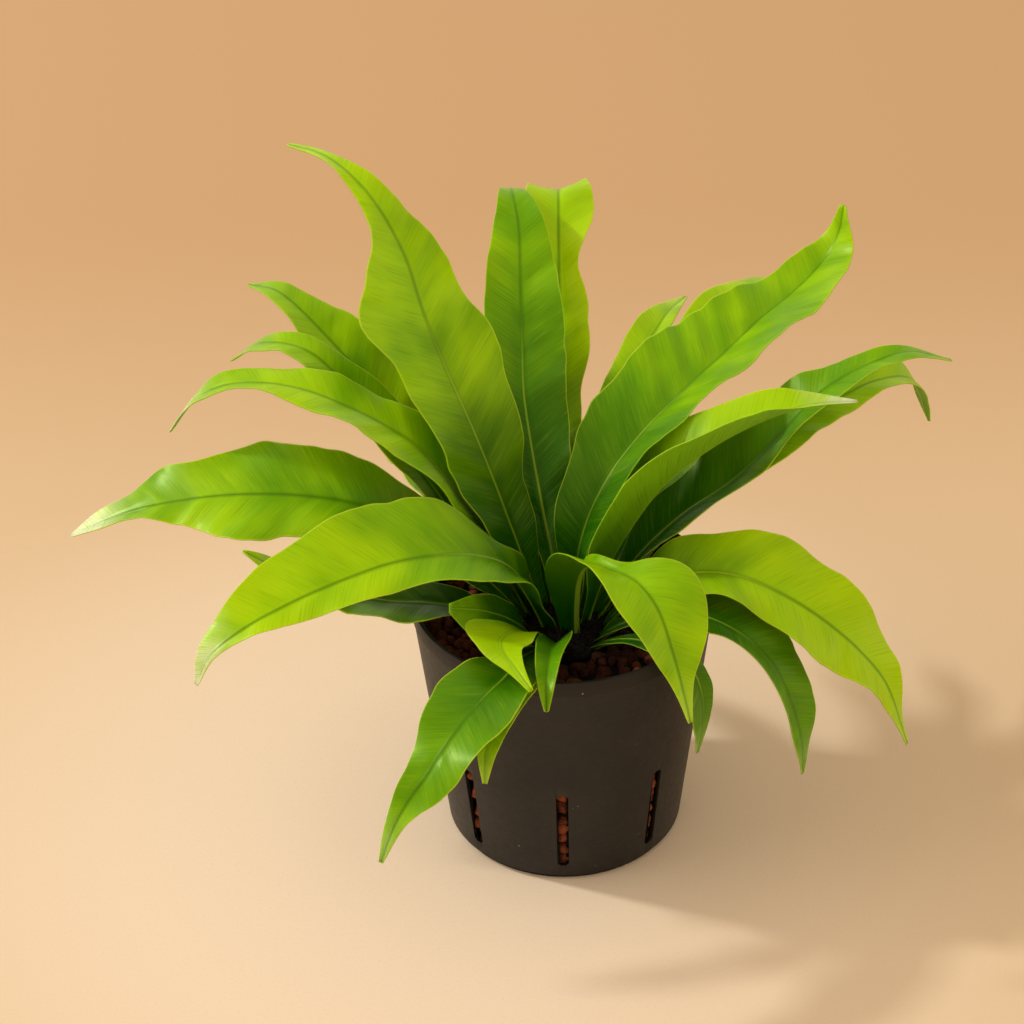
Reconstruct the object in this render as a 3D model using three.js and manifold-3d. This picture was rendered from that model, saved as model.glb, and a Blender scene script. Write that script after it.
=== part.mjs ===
import * as THREE from 'three';
import Module from 'manifold-3d';

const wasm = await Module();
wasm.setup();

// Nest fern in a black slotted pot. Millimetres, Z up, front of the plant toward -Y.
// The origin is the centre of the pot's underside.

// Pot
const POT_HEIGHT = 120;
const RIM_RADIUS = 65;
const RIM_LIP = 1.4;
const RIM_STEP_DROP = 1.2;
const RIM_STEP_WIDTH = 1.0;
const BAND_HEIGHT = 8;
const BAND_PROUD = 0.5;
const BASE_RADIUS = 52;
const FOOT_RADIUS = 50;
const FOOT_HEIGHT = 2.2;
const FOOT_BEVEL = 0.6;
const RIM_BEVEL = 0.4;
const BAND_BEVEL = 0.5;
const FLOOR_THICK = 2.6;
const WALL = 1.9;
const POT_SIDES = 48;

// Slots in the wall of the pot
const SLOT_COUNT = 8;
const SLOT_TURN = -91;
const SLOT_WIDTH = 5;
const SLOT_LOW = 9;
const SLOT_HIGH = 53;
const SLOT_CORNER = 1.4;
const SLOT_CUT_DEPTH = 20;

// Clay granules that fill the pot
const SOIL_Z = 105;
const GAP = 0.35;
const WALL_GAP = 0.45;
const GRANULES = 72;
const GRANULE_MIN = 3.6;
const GRANULE_MAX = 5.2;
const GRANULE_FLATTEN = 0.8;
const GRANULE_SINK = 0.5;
const GRANULE_BED_DROP = 1.5;
const SPIRAL_TURN = 2.399963;

// Crown, the short stem that carries the fronds
const CROWN_X = 0;
const CROWN_Y = -6;
const CROWN_RADIUS = 22;
const CROWN_DEPTH = 8;
const CROWN_RISE = 1;
const CROWN_SIDES = 24;
const CROWN_HOLE_SIDES = 40;

// Blade of a frond
const KEEL_BASE = 2.4;
const KEEL_TIP = 0.9;
const MARGIN_THICK = 0.75;
const KEEL_FADE = 1.6;
const CALM_WIDTH = 10;
const RIB_SAMPLES = 240;
const STATION_STEP = 11;
const FEWEST_STATIONS = 8;
const SOCKET_STATIONS = 2;
const COLUMNS = [-1, -0.5, 0, 0.5, 1];
const SOCKET_COLUMNS = [-1, 0, 1];

// One row for each frond: name, heading in degrees, rib, left and right half widths,
// fold, roll, and wave. The rib lists reach from the crown's axis, height over the
// granules and an optional shift to the left, all in mm. The widths in mm, the fold in
// degrees (how far both halves rise from flat) and the roll in degrees (left edge up)
// are spread evenly from base to tip. The wave is height in mm, count, and two phases.
const FRONDS = [
  ['frond_tall_left', 136,
    [[11, -5], [19, 14], [29, 34], [40, 56], [53, 79], [67, 101], [80, 124], [91, 149], [110, 169], [135, 178],
      [160, 175]],
    [4, 12, 20, 23, 26, 35, 10, 4, 1], [3, 8, 15, 24, 27, 19.5, 12, 5, 1],
    [25, 12, 8, 5], [0, 0, 0], [1.6, 6, 0, 90]],
  ['frond_upper_left_1', 143,
    [[16, -5], [29, 9], [48, 26], [67, 46], [87, 67], [107, 87], [129, 102], [151, 113], [170, 111]],
    [2, 4, 6, 9, 13, 15, 13, 8, 1], [2, 5, 10, 15, 17, 17, 16.5, 8.5, 1], [20, 12, 8], [-12, -12, 0], [1.4, 5, 40, 200]],
  ['frond_upper_left_2', 155,
    [[17, -5, 2], [29, 12, 1], [46, 33, -2], [63, 54, -3], [79, 75, -2], [98, 95], [117, 109], [139, 108], [156, 95]],
    [2, 4, 6, 8, 11, 11, 10, 7, 1], [2, 4, 8, 13, 14, 12, 9, 6, 1], [20, 12, 8], [-10, -10, 0], [1.2, 5, 80, 20]],
  ['frond_upper_left_3', 167,
    [[12, -5, -3], [21, 12, -6], [32, 32, -9], [46, 55, -8], [63, 80, -5], [86, 97, -1], [111, 106], [136, 106],
      [157, 96], [171, 77]],
    [2, 6, 12, 15, 17, 15, 8, 5, 1], [2, 6, 11, 15, 15, 14, 11, 7, 1], [20, 12, 8], [0, 0, 0], [1.5, 5, 120, 10]],
  ['frond_left_wide', 176,
    [[13, -5], [24, 13], [41, 32], [61, 49], [84, 60], [108, 64], [134, 64], [160, 60], [184, 53], [210, 40]],
    [2, 4, 6, 10, 14, 16, 18, 19, 20, 21, 25.5, 22.5, 14, 9.5, 5, 3, 1],
    [2, 4, 6, 8.5, 11, 13, 14, 20.5, 23, 22, 25, 22, 17.5, 18, 11, 6.5, 1], [20, 8, 5], [0, -25, -22, -10],
    [2, 5, 0, 150]],
  ['frond_left_under', 190,
    [[17, -5], [26, 6], [40, 14], [57, 20], [76, 24], [96, 32], [116, 44], [134, 58]],
    [2, 5, 10, 15, 17, 16, 14, 8, 1], [2, 5, 10, 15, 17, 16, 14, 8, 1], [15, 8, 5], [0, 0, 0], [1.2, 4, 0, 90]],
  ['frond_front_left_wide', 205,
    [[6, -5], [13, 16], [24, 38], [40, 50], [60, 56], [80, 58], [102, 56], [124, 52], [144, 46], [158, 38],
      [165, 25]],
    [3, 11, 17, 17, 14, 13, 9, 4, 1], [3, 8, 11, 12, 11, 18, 25, 27.5, 28, 27, 25, 23, 20, 16, 11, 6, 1],
    [25, 12, 8, 5], [0, -15, -28, -20],
    [1.6, 5, 30, 100]],
  ['frond_tall_middle', 95,
    [[8, -5, 1], [19, 18, 2], [33, 37, 5], [49, 57, 8], [67, 76, 10], [86, 93, 9], [105, 110, 8], [122, 125, 7],
      [139, 133, 8], [154, 129, 8], [165, 117, 8]],
    [2, 5, 10, 15, 16, 16, 13, 6, 1], [2, 6, 13, 18, 19, 18, 14, 7, 1], [25, 12, 8, 5], [0, 0, 0],
    [1.6, 6, 0, 120]],
  ['frond_tall_middle_back', 90,
    [[15, -5], [28, 14], [45, 34], [63, 53], [82, 71], [102, 89], [121, 105], [139, 118], [156, 124], [171, 117],
      [181, 104]],
    [2, 5, 10, 13, 13, 14, 16, 13, 1], [2, 3, 5, 7, 9, 9.5, 9.5, 9.5, 13, 13, 12.5, 8.5, 13, 16.5, 14, 9, 1],
    [20, 12, 8], [0, 0, 0],
    [2.6, 5, 30, 240]],
  ['frond_tall_right', 45,
    [[8, -5], [8, 20], [13, 45, -1], [25, 66, -3], [46, 79, -3], [72, 87, -2], [98, 93, -1], [122, 99],
      [146, 104], [164, 111], [174, 121], [177, 134]],
    [3, 9, 16, 24, 27, 24, 17, 11, 2], [3, 9, 12, 15, 20, 24, 26, 19, 2], [30, 25, 25, 15], [0, 0, 0],
    [1.6, 6, 0, 70]],
  ['frond_back_right_1', 66,
    [[13, -5, 2], [19, 18, 2], [31, 42, 1], [48, 63], [69, 79], [93, 88], [117, 91], [139, 87]],
    [2, 4, 6, 8, 9, 10, 10, 7, 1], [2, 4, 7, 7, 7, 7, 7, 5, 1], [20, 20, 15], [0, 0, 0],
    [1.4, 4, 0, 90]],
  ['frond_back_right_2', 55,
    [[14, -5], [24, 14], [39, 37], [57, 59], [79, 76], [104, 86], [130, 91], [154, 92], [174, 86]],
    [2, 4, 7, 8, 9, 12, 15, 11, 1], [2, 5, 9, 11, 11, 10, 8, 5, 1], [20, 15, 12], [0, 0, 0],
    [1.4, 4, 60, 10]],
  ['frond_right_folded', 12,
    [[8, -5, -2], [13, 12, -1], [20, 30], [30, 48], [44, 67], [62, 81], [82, 91], [104, 97], [127, 96]],
    [2, 6, 14, 19, 19.5, 18, 15, 8, 1], [3, 8, 16, 23, 20, 17, 12, 6, 1], [40, 45, 45, 38, 20], [0, -18, -18, 0],
    [1, 4, 0, 90]],
  ['frond_right_long', 20,
    [[13, -5], [23, 12], [37, 30], [56, 45], [77, 56], [98, 73], [116, 91], [136, 100], [157, 103], [178, 94]],
    [2, 6, 13, 18, 20, 17, 10, 5, 1], [2, 6, 9, 11, 11, 10, 10, 6, 1], [25, 18, 12, 5], [0, 0, 0],
    [1.4, 5, 0, 90]],
  ['frond_right_under', 28,
    [[17, -5], [27, 9], [43, 27], [61, 41], [83, 52], [108, 63], [133, 72], [156, 76], [175, 70], [185, 46]],
    [2, 5, 11, 15, 15, 13, 12, 9, 1], [2, 3, 6, 9, 11, 11, 9, 8, 1], [15, 8, 8], [0, 8, 8, 0],
    [1.4, 5, 0, 90]],
  ['frond_right_low', -10,
    [[16, -5], [23, 9], [37, 25], [55, 34], [75, 35], [95, 27], [113, 15], [128, 1], [140, -16], [150, -46]],
    [2, 5, 16, 21, 23.5, 20.5, 15, 6, 1], [2, 4, 12, 15, 17, 19, 14, 6, 1], [20, 10, 5], [0, 15, 28, 20],
    [2, 5, 0, 120]],
  ['frond_right_hanging', -24,
    [[14, -5, -3], [22, 5, -3], [32, 13, -2], [47, 21], [65, 24], [83, 19], [97, 6], [106, -14], [110, -30],
      [111, -46]],
    [2, 5, 10, 14, 15, 15, 14, 9, 1], [2, 4, 7, 9, 7, 5, 6, 5, 1], [15, 8, 5], [0, 10, 10],
    [1.3, 4, 0, 90]],
  ['frond_front_right', -56,
    [[10, -5], [10, 16], [13, 34], [21, 45], [35, 49, 2], [50, 52, 3], [65, 47, 3], [79, 33, 1], [88, 18], [92, 8]],
    [2, 5, 6, 5, 8, 22, 18, 7, 1], [4, 9, 14, 16, 17, 18, 13, 5, 1], [30, 42, 10, 5], [0, 0, 0],
    [1.2, 4, 0, 90]],
  ['frond_rim_right', -40,
    [[16, -5, -3], [23, 3, -3], [34, 11, -4], [46, 17, -5], [61, 20, -6], [70, 17, -4], [75, 4, -1], [76, -14, 0],
      [75, -30, -2]],
    [1.5, 2, 4, 5, 6, 6, 6, 4, 1], [1.5, 3, 5, 6, 6, 8, 8, 6, 1], [15, 8, 5], [0, 0, 0], [0.8, 3, 0, 90]],
  ['frond_front_lobed', 212,
    [[15, -5, 2], [21, 8, 3], [30, 18, 2], [41, 25, 0], [53, 28, -5]],
    [1.5, 4, 7, 6, 13, 8, 14, 9, 2], [1.5, 4, 8, 9, 8, 9, 8, 5, 2], [10, 5, 0], [0, -30, -40], [1, 2, 0, 90]],
  ['frond_front_pointed', 245,
    [[11, -5, 0], [23, 9, -2], [38, 22, -4], [52, 28, -4], [64, 32, 2], [73, 33, 12], [80, 30, 23]],
    [1.5, 4, 7, 9, 13, 12, 8, 4, 1], [1.5, 3, 4, 9, 17, 13, 8, 3, 1], [15, 8, 5], [0, 0, 0],
    [0.8, 3, 0, 90]],
  ['frond_front_left_low', 243,
    [[15, -5, 3], [23, 5, 2], [36, 12, 4], [53, 20, 6], [69, 23, 8], [85, 24, 7], [99, 21, 5], [112, 16, 3],
      [122, 8], [129, -2, -5], [136, -14, -9], [142, -26, -11]],
    [1.5, 3, 6, 14, 18, 16, 12, 5, 1], [1.5, 3, 6, 15, 20, 15, 9, 5, 1], [15, 10, 5], [0, 0, 0],
    [1.5, 5, 0, 90]],
  ['frond_front_small', 254,
    [[15, -5, 4], [23, 4, 5], [37, 10, 5], [55, 17, 4], [68, 19, 2], [84, 16, -2], [98, 9, -4], [103, -5, -4]],
    [1.5, 2, 3, 4, 6, 6, 6, 4, 1], [1.5, 2, 3, 4, 5, 6, 6, 4, 1], [15, 8, 5], [0, 0, 0], [0.6, 3, 0, 90]],
  ['frond_front_curled', 270,
    [[12, -5], [24, 8, -2], [40, 20, -4], [58, 26, -6], [72, 25, -7], [82, 19, -7]],
    [1.5, 4, 7, 9, 10, 8, 6, 4, 1], [1.5, 3, 5, 7, 8, 7, 6, 4, 1], [35, 35, 30], [0, 0, 0], [0.6, 3, 0, 90]],
  ['frond_back_1', 124,
    [[15, -5], [22, 5], [35, 11], [52, 15], [74, 18], [98, 20], [122, 17], [142, 8]],
    [2, 4, 8, 14, 16, 14, 11, 7, 1], [2, 4, 8, 14, 16, 14, 11, 7, 1], [15, 10, 5], [0, 0, 0], [1.4, 4, 0, 90]],
  ['frond_back_2', 104,
    [[17, -5], [30, 12], [50, 27], [74, 38], [98, 43], [122, 41], [142, 33]],
    [2, 4, 8, 14, 16, 14, 11, 7, 1], [2, 4, 8, 14, 16, 14, 11, 7, 1], [15, 10, 5], [0, 0, 0], [1.4, 4, 50, 0]],
  ['frond_back_3', 76,
    [[17, -5, -1], [22, 4, -1], [34, 11, -1], [52, 18], [76, 25], [100, 28], [122, 25], [142, 16]],
    [2, 3, 8, 14, 16, 14, 11, 7, 1], [2, 4, 8, 14, 16, 14, 11, 7, 1], [15, 10, 5], [0, 0, 0], [1.4, 4, 90, 0]],
  ['frond_back_4', 44,
    [[17, -5, 0], [22, 4, 1], [33, 11, 3], [50, 17, 5], [73, 21, 9], [96, 23, 12], [118, 20, 15], [136, 11, 17]],
    [2, 3, 7, 13, 16, 14, 11, 7, 1], [2, 3, 7, 13, 16, 14, 11, 7, 1], [15, 10, 5], [0, 0, 0], [1.4, 4, 20, 0]],
];

const leafMaterial = new THREE.MeshStandardMaterial({ color: 0x6f9f18, roughness: 0.42 });
const potMaterial = new THREE.MeshStandardMaterial({ color: 0x221f1e, roughness: 0.62 });
const clayMaterial = new THREE.MeshStandardMaterial({ color: 0x4a2618, roughness: 0.95 });
const crownMaterial = new THREE.MeshStandardMaterial({ color: 0x3a2a18, roughness: 0.95 });

function radians(degrees) {
  return degrees * Math.PI / 180;
}

// Value at t (0 to 1) on a smooth curve through evenly spaced numbers
function smooth(values, t) {
  const last = values.length - 1;
  const x = Math.min(Math.max(t, 0), 1) * last;
  const i = Math.min(Math.floor(x), last - 1);
  const f = x - i;
  const b = values[i];
  const c = values[i + 1];
  const a = i > 0 ? values[i - 1] : 2 * b - c;
  const d = i + 2 <= last ? values[i + 2] : 2 * c - b;
  const linear = c - a;
  const square = 2 * a - 5 * b + 4 * c - d;
  const cube = 3 * b - a - 3 * c + d;
  return b + 0.5 * (linear * f + square * f * f + cube * f * f * f);
}

function smoothPoint(points, t) {
  return new THREE.Vector3(
    smooth(points.map((p) => p.x), t),
    smooth(points.map((p) => p.y), t),
    smooth(points.map((p) => p.z), t),
  );
}

// The rib in space, with a table that turns a share of its length into curve time
function makeRib(heading, rib) {
  const turn = radians(heading);
  const out = new THREE.Vector3(Math.cos(turn), Math.sin(turn), 0);
  const left = new THREE.Vector3(-Math.sin(turn), Math.cos(turn), 0);
  const points = rib.map(([reach, height, side = 0]) => new THREE.Vector3(CROWN_X, CROWN_Y, SOIL_Z + height)
    .addScaledVector(out, reach)
    .addScaledVector(left, side));
  const lengths = [0];
  let before = smoothPoint(points, 0);
  for (let k = 1; k <= RIB_SAMPLES; k += 1) {
    const here = smoothPoint(points, k / RIB_SAMPLES);
    lengths.push(lengths[k - 1] + here.distanceTo(before));
    before = here;
  }
  const total = lengths[RIB_SAMPLES];
  const timeAt = (u) => {
    const want = Math.min(Math.max(u, 0), 1) * total;
    let k = 1;
    while (k < RIB_SAMPLES && lengths[k] < want) {
      k += 1;
    }
    const share = (want - lengths[k - 1]) / (lengths[k] - lengths[k - 1]);
    return (k - 1 + share) / RIB_SAMPLES;
  };
  const stations = Math.max(FEWEST_STATIONS, Math.round(total / STATION_STEP));
  return { points, left, stations, timeAt };
}

// Place, direction, left side and upper side of the blade at a share of its length
function ribFrame(line, rolls, u) {
  const step = 0.001;
  const t = line.timeAt(u);
  const place = smoothPoint(line.points, t);
  const ahead = smoothPoint(line.points, Math.min(t + step, 1));
  const behind = smoothPoint(line.points, Math.max(t - step, 0));
  const along = ahead.sub(behind).normalize();
  const flatLeft = line.left.clone().addScaledVector(along, -along.dot(line.left)).normalize();
  const flatUp = new THREE.Vector3().crossVectors(along, flatLeft);
  const roll = radians(smooth(rolls, u));
  const left = flatLeft.clone().multiplyScalar(Math.cos(roll)).addScaledVector(flatUp, Math.sin(roll));
  const up = flatUp.clone().multiplyScalar(Math.cos(roll)).addScaledVector(flatLeft, -Math.sin(roll));
  return { place, along, left, up };
}

// Upper and lower point of the blade at column v, which runs from -1 (right) to 1 (left)
function bladePair(frond, frame, u, v, grow) {
  const [, , , lefts, rights, folds, , wave] = frond;
  const [waveHeight, waveCount, leftPhase, rightPhase] = wave;
  const side = Math.sign(v);
  const part = Math.abs(v);
  const width = smooth(v >= 0 ? lefts : rights, u) + grow;
  const fold = radians(smooth(folds, u));
  const phase = radians(v >= 0 ? leftPhase : rightPhase);
  const calm = Math.min(1, width / CALM_WIDTH);
  const ripple = waveHeight * calm * part * part * Math.sin(2 * Math.PI * waveCount * u + phase);
  const across = side * width * part * Math.cos(fold);
  const rise = width * part * Math.sin(fold) + ripple;
  const keel = KEEL_BASE + (KEEL_TIP - KEEL_BASE) * Math.min(1, u * KEEL_FADE);
  const share = Math.min(1, part * 2);
  const thick = keel + (MARGIN_THICK - keel) * share;
  const middle = frame.place.clone().addScaledVector(frame.left, across).addScaledVector(frame.up, rise);
  const normal = frame.up.clone().multiplyScalar(Math.cos(fold))
    .addScaledVector(frame.left, -side * Math.sin(fold));
  const above = MARGIN_THICK / 2 + grow;
  const below = thick - MARGIN_THICK / 2 + grow;
  const upper = middle.clone().addScaledVector(normal, above);
  const lower = middle.clone().addScaledVector(normal, -below);
  return [upper, lower];
}

// Closed surface from rings that all have the same number of points
function closedFromRings(rings, across) {
  const positions = rings.flat().flatMap((p) => [p.x, p.y, p.z]);
  const count = rings[0].length;
  const index = [];
  for (let k = 0; k < rings.length - 1; k += 1) {
    for (let j = 0; j < count; j += 1) {
      const a = k * count + j;
      const b = k * count + (j + 1) % count;
      const c = a + count;
      const d = b + count;
      const underside = j >= across && j < count - 1;
      if (underside) {
        index.push(a, c, b, b, c, d);
      } else {
        index.push(a, d, b, a, c, d);
      }
    }
  }
  const lastRing = (rings.length - 1) * count;
  for (let j = 0; j < across - 1; j += 1) {
    const top = j;
    const low = count - 1 - j;
    index.push(top, low - 1, low, top, top + 1, low - 1);
    const farTop = lastRing + top;
    const farLow = lastRing + low;
    index.push(farTop, farLow, farLow - 1, farTop, farLow - 1, farTop + 1);
  }
  const geometry = new THREE.BufferGeometry();
  geometry.setAttribute('position', new THREE.Float32BufferAttribute(positions, 3));
  geometry.setIndex(index);
  geometry.computeVertexNormals();
  return geometry;
}

function bladeRing(frond, line, u, columns, grow) {
  const frame = ribFrame(line, frond[6], u);
  const pairs = columns.map((v) => bladePair(frond, frame, u, v, grow));
  const uppers = pairs.map(([upper]) => upper);
  const lowers = pairs.map(([, lower]) => lower).reverse();
  return [...uppers, ...lowers];
}

function frondGeometry(frond) {
  const line = makeRib(frond[1], frond[2]);
  const rings = [];
  for (let k = 0; k <= line.stations; k += 1) {
    rings.push(bladeRing(frond, line, k / line.stations, COLUMNS, 0));
  }
  return closedFromRings(rings, COLUMNS.length);
}

// Body a little larger than a stalk, which leaves its plain hole in the crown
function socketGeometry(frond) {
  const line = makeRib(frond[1], frond[2]);
  const rings = [];
  for (let k = 0; k <= SOCKET_STATIONS; k += 1) {
    const ring = bladeRing(frond, line, k / line.stations, SOCKET_COLUMNS, GAP);
    if (k === 0) {
      const { along } = ribFrame(line, frond[6], 0);
      ring.forEach((p) => p.addScaledVector(along, -GAP));
    }
    rings.push(ring);
  }
  return closedFromRings(rings, SOCKET_COLUMNS.length);
}

function toManifold(geometry) {
  const position = geometry.getAttribute('position');
  const keys = new Map();
  const vertices = [];
  const lookup = [];
  for (let k = 0; k < position.count; k += 1) {
    const xyz = [position.getX(k), position.getY(k), position.getZ(k)];
    const key = xyz.map((n) => Math.round(n * 10000)).join(' ');
    if (!keys.has(key)) {
      keys.set(key, keys.size);
      vertices.push(...xyz);
    }
    lookup.push(keys.get(key));
  }
  const triangles = [];
  const order = geometry.index ? Array.from(geometry.index.array) : lookup.map((_, k) => k);
  for (let k = 0; k < order.length; k += 3) {
    const a = lookup[order[k]];
    const b = lookup[order[k + 1]];
    const c = lookup[order[k + 2]];
    if (a !== b && b !== c && c !== a) {
      triangles.push(a, b, c);
    }
  }
  return new wasm.Manifold(new wasm.Mesh({
    numProp: 3,
    vertProperties: new Float32Array(vertices),
    triVerts: new Uint32Array(triangles),
  }));
}

function toGeometry(solid) {
  const mesh = solid.getMesh();
  const geometry = new THREE.BufferGeometry();
  geometry.setAttribute('position', new THREE.Float32BufferAttribute(mesh.vertProperties, 3));
  geometry.setIndex(Array.from(mesh.triVerts));
  geometry.computeVertexNormals();
  return geometry;
}

// Turned body about the Z axis from [radius, z] pairs
function turned(profile, sides) {
  const points = profile.map(([r, z]) => new THREE.Vector2(r, z));
  const geometry = new THREE.LatheGeometry(points, sides);
  geometry.rotateX(Math.PI / 2);
  return geometry;
}

function wallRadius(z) {
  const low = FOOT_HEIGHT + FOOT_BEVEL;
  const high = POT_HEIGHT - BAND_HEIGHT;
  return BASE_RADIUS + (RIM_RADIUS - BAND_PROUD - BASE_RADIUS) * (z - low) / (high - low);
}

function innerRadius(z) {
  return wallRadius(z) - WALL;
}

function slotCutter() {
  const half = SLOT_WIDTH / 2;
  const shape = new THREE.Shape();
  shape.moveTo(-half + SLOT_CORNER, SLOT_LOW);
  shape.lineTo(half - SLOT_CORNER, SLOT_LOW);
  shape.lineTo(half, SLOT_LOW + SLOT_CORNER);
  shape.lineTo(half, SLOT_HIGH - SLOT_CORNER);
  shape.lineTo(half - SLOT_CORNER, SLOT_HIGH);
  shape.lineTo(-half + SLOT_CORNER, SLOT_HIGH);
  shape.lineTo(-half, SLOT_HIGH - SLOT_CORNER);
  shape.lineTo(-half, SLOT_LOW + SLOT_CORNER);
  const geometry = new THREE.ExtrudeGeometry(shape, { depth: SLOT_CUT_DEPTH, bevelEnabled: false });
  geometry.rotateX(Math.PI / 2);
  geometry.rotateZ(Math.PI / 2);
  geometry.translate(RIM_RADIUS - SLOT_CUT_DEPTH, 0, 0);
  return geometry;
}

function potGeometry() {
  const bandBottom = POT_HEIGHT - BAND_HEIGHT;
  const stepRadius = RIM_RADIUS - RIM_LIP;
  const stepZ = POT_HEIGHT - RIM_STEP_DROP;
  const innerTop = stepRadius - RIM_STEP_WIDTH;
  const profile = [
    [0, 0],
    [FOOT_RADIUS, 0],
    [FOOT_RADIUS, FOOT_HEIGHT],
    [BASE_RADIUS, FOOT_HEIGHT + FOOT_BEVEL],
    [wallRadius(bandBottom), bandBottom],
    [RIM_RADIUS, bandBottom + BAND_BEVEL],
    [RIM_RADIUS, POT_HEIGHT - RIM_BEVEL],
    [RIM_RADIUS - RIM_BEVEL, POT_HEIGHT],
    [stepRadius, POT_HEIGHT],
    [stepRadius, stepZ],
    [innerTop, stepZ],
    [innerRadius(bandBottom), bandBottom],
    [innerRadius(FLOOR_THICK), FLOOR_THICK],
    [0, FLOOR_THICK],
  ];
  let pot = toManifold(turned(profile, POT_SIDES));
  for (let k = 0; k < SLOT_COUNT; k += 1) {
    const cutter = slotCutter();
    cutter.rotateZ(radians(SLOT_TURN + k * 360 / SLOT_COUNT));
    pot = pot.subtract(toManifold(cutter));
  }
  return toGeometry(pot);
}

// Repeatable spread of numbers between 0 and 1
function spreadNumbers(seed) {
  let state = seed;
  return () => {
    state = (state * 16807) % 2147483647;
    return state / 2147483647;
  };
}

function fillGeometry() {
  const bottom = FLOOR_THICK + GAP;
  const top = SOIL_Z - GRANULE_BED_DROP;
  let fill = toManifold(turned([
    [0, bottom],
    [innerRadius(bottom) - WALL_GAP, bottom],
    [innerRadius(top) - WALL_GAP, top],
    [0, top],
  ], POT_SIDES));
  const next = spreadNumbers(7);
  for (let k = 0; k < GRANULES; k += 1) {
    const size = GRANULE_MIN + (GRANULE_MAX - GRANULE_MIN) * next();
    const outer = innerRadius(SOIL_Z) - 2 * WALL_GAP - size;
    const inner = CROWN_RADIUS + WALL_GAP;
    const angle = k * SPIRAL_TURN;
    const radius = Math.sqrt(inner * inner + (outer * outer - inner * inner) * ((k + 0.5) / GRANULES));
    const granule = new THREE.IcosahedronGeometry(size, 0);
    granule.rotateX(next() * 3);
    granule.rotateZ(next() * 3);
    granule.scale(1, 1, GRANULE_FLATTEN);
    granule.translate(radius * Math.cos(angle), radius * Math.sin(angle), top - GRANULE_SINK);
    fill = fill.add(toManifold(granule));
  }
  const holeFloor = SOIL_Z - CROWN_DEPTH - GAP;
  const holeTop = SOIL_Z + GRANULE_MAX;
  const hole = turned([
    [0, holeFloor],
    [CROWN_RADIUS + WALL_GAP, holeFloor],
    [CROWN_RADIUS + WALL_GAP, holeTop],
    [0, holeTop],
  ], CROWN_HOLE_SIDES);
  hole.translate(CROWN_X, CROWN_Y, 0);
  return toGeometry(fill.subtract(toManifold(hole)));
}

function crownGeometry() {
  const body = turned([
    [0, SOIL_Z - CROWN_DEPTH],
    [CROWN_RADIUS, SOIL_Z - CROWN_DEPTH],
    [CROWN_RADIUS, SOIL_Z - CROWN_RISE],
    [CROWN_RADIUS * 0.8, SOIL_Z],
    [CROWN_RADIUS * 0.4, SOIL_Z + CROWN_RISE],
    [0, SOIL_Z + CROWN_RISE],
  ], CROWN_SIDES);
  body.translate(CROWN_X, CROWN_Y, 0);
  let crown = toManifold(body);
  FRONDS.forEach((frond) => {
    crown = crown.subtract(toManifold(socketGeometry(frond)));
  });
  const pieces = crown.decompose().sort((a, b) => b.volume() - a.volume());
  return toGeometry(pieces[0]);
}

function addPart(group, name, geometry, material) {
  const mesh = new THREE.Mesh(geometry, material);
  mesh.name = name;
  group.add(mesh);
}

const group = new THREE.Group();
group.name = 'nest_fern';
addPart(group, 'pot', potGeometry(), potMaterial);
addPart(group, 'clay_granules', fillGeometry(), clayMaterial);
addPart(group, 'crown', crownGeometry(), crownMaterial);
FRONDS.forEach((frond) => addPart(group, frond[0], frondGeometry(frond), leafMaterial));

export default group;
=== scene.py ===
import math

import bmesh
import bpy
import numpy as np
from mathutils import Matrix, Vector


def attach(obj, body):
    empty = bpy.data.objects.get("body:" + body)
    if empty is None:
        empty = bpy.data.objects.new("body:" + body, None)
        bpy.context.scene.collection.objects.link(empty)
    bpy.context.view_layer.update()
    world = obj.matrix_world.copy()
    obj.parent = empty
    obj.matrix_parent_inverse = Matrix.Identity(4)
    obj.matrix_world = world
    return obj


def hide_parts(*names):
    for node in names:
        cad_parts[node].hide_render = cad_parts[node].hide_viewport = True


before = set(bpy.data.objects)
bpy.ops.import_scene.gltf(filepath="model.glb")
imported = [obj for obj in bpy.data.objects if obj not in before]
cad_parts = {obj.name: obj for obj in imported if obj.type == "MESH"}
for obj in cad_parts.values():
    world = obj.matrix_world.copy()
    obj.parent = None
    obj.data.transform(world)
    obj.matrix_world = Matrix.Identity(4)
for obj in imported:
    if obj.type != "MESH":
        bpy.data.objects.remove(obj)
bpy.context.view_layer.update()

# A small nest fern in a black slotted pot. It is drawn in millimetres, Z up, front toward
# -Y, and scaled to metres when its meshes are made. The figures for the fronds and the
# pot are those of the solids.
MM = 0.001

# Pot
POT_HEIGHT = 120.0
RIM_RADIUS = 65.0
RIM_LIP = 1.4
RIM_STEP_DROP = 1.2
RIM_STEP_WIDTH = 1.0
BAND_HEIGHT = 8.0
BAND_PROUD = 0.5
BASE_RADIUS = 52.0
FOOT_RADIUS = 50.0
FOOT_HEIGHT = 2.2
FOOT_BEVEL = 0.6
FLOOR_THICK = 2.6
WALL = 1.9
SLOT_COUNT = 8
SLOT_TURN = -91.0
SLOT_WIDTH = 5.0
SLOT_LOW = 9.0
SLOT_HIGH = 53.0

# Clay granules and crown
SOIL_Z = 105.0
CROWN_X = 0.0
CROWN_Y = -6.0
CROWN_RADIUS = 22.0
CROWN_DEPTH = 8.0

# Blade of a frond
KEEL_BASE = 2.4
KEEL_TIP = 0.9
KEEL_FADE = 1.6
MARGIN_THICK = 0.6
UPPER_OFFSET = 0.375
CALM_WIDTH = 10.0
RIB_SAMPLES = 240
TIME_STEP = 0.001
STATION_STEP = 2.0
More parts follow.
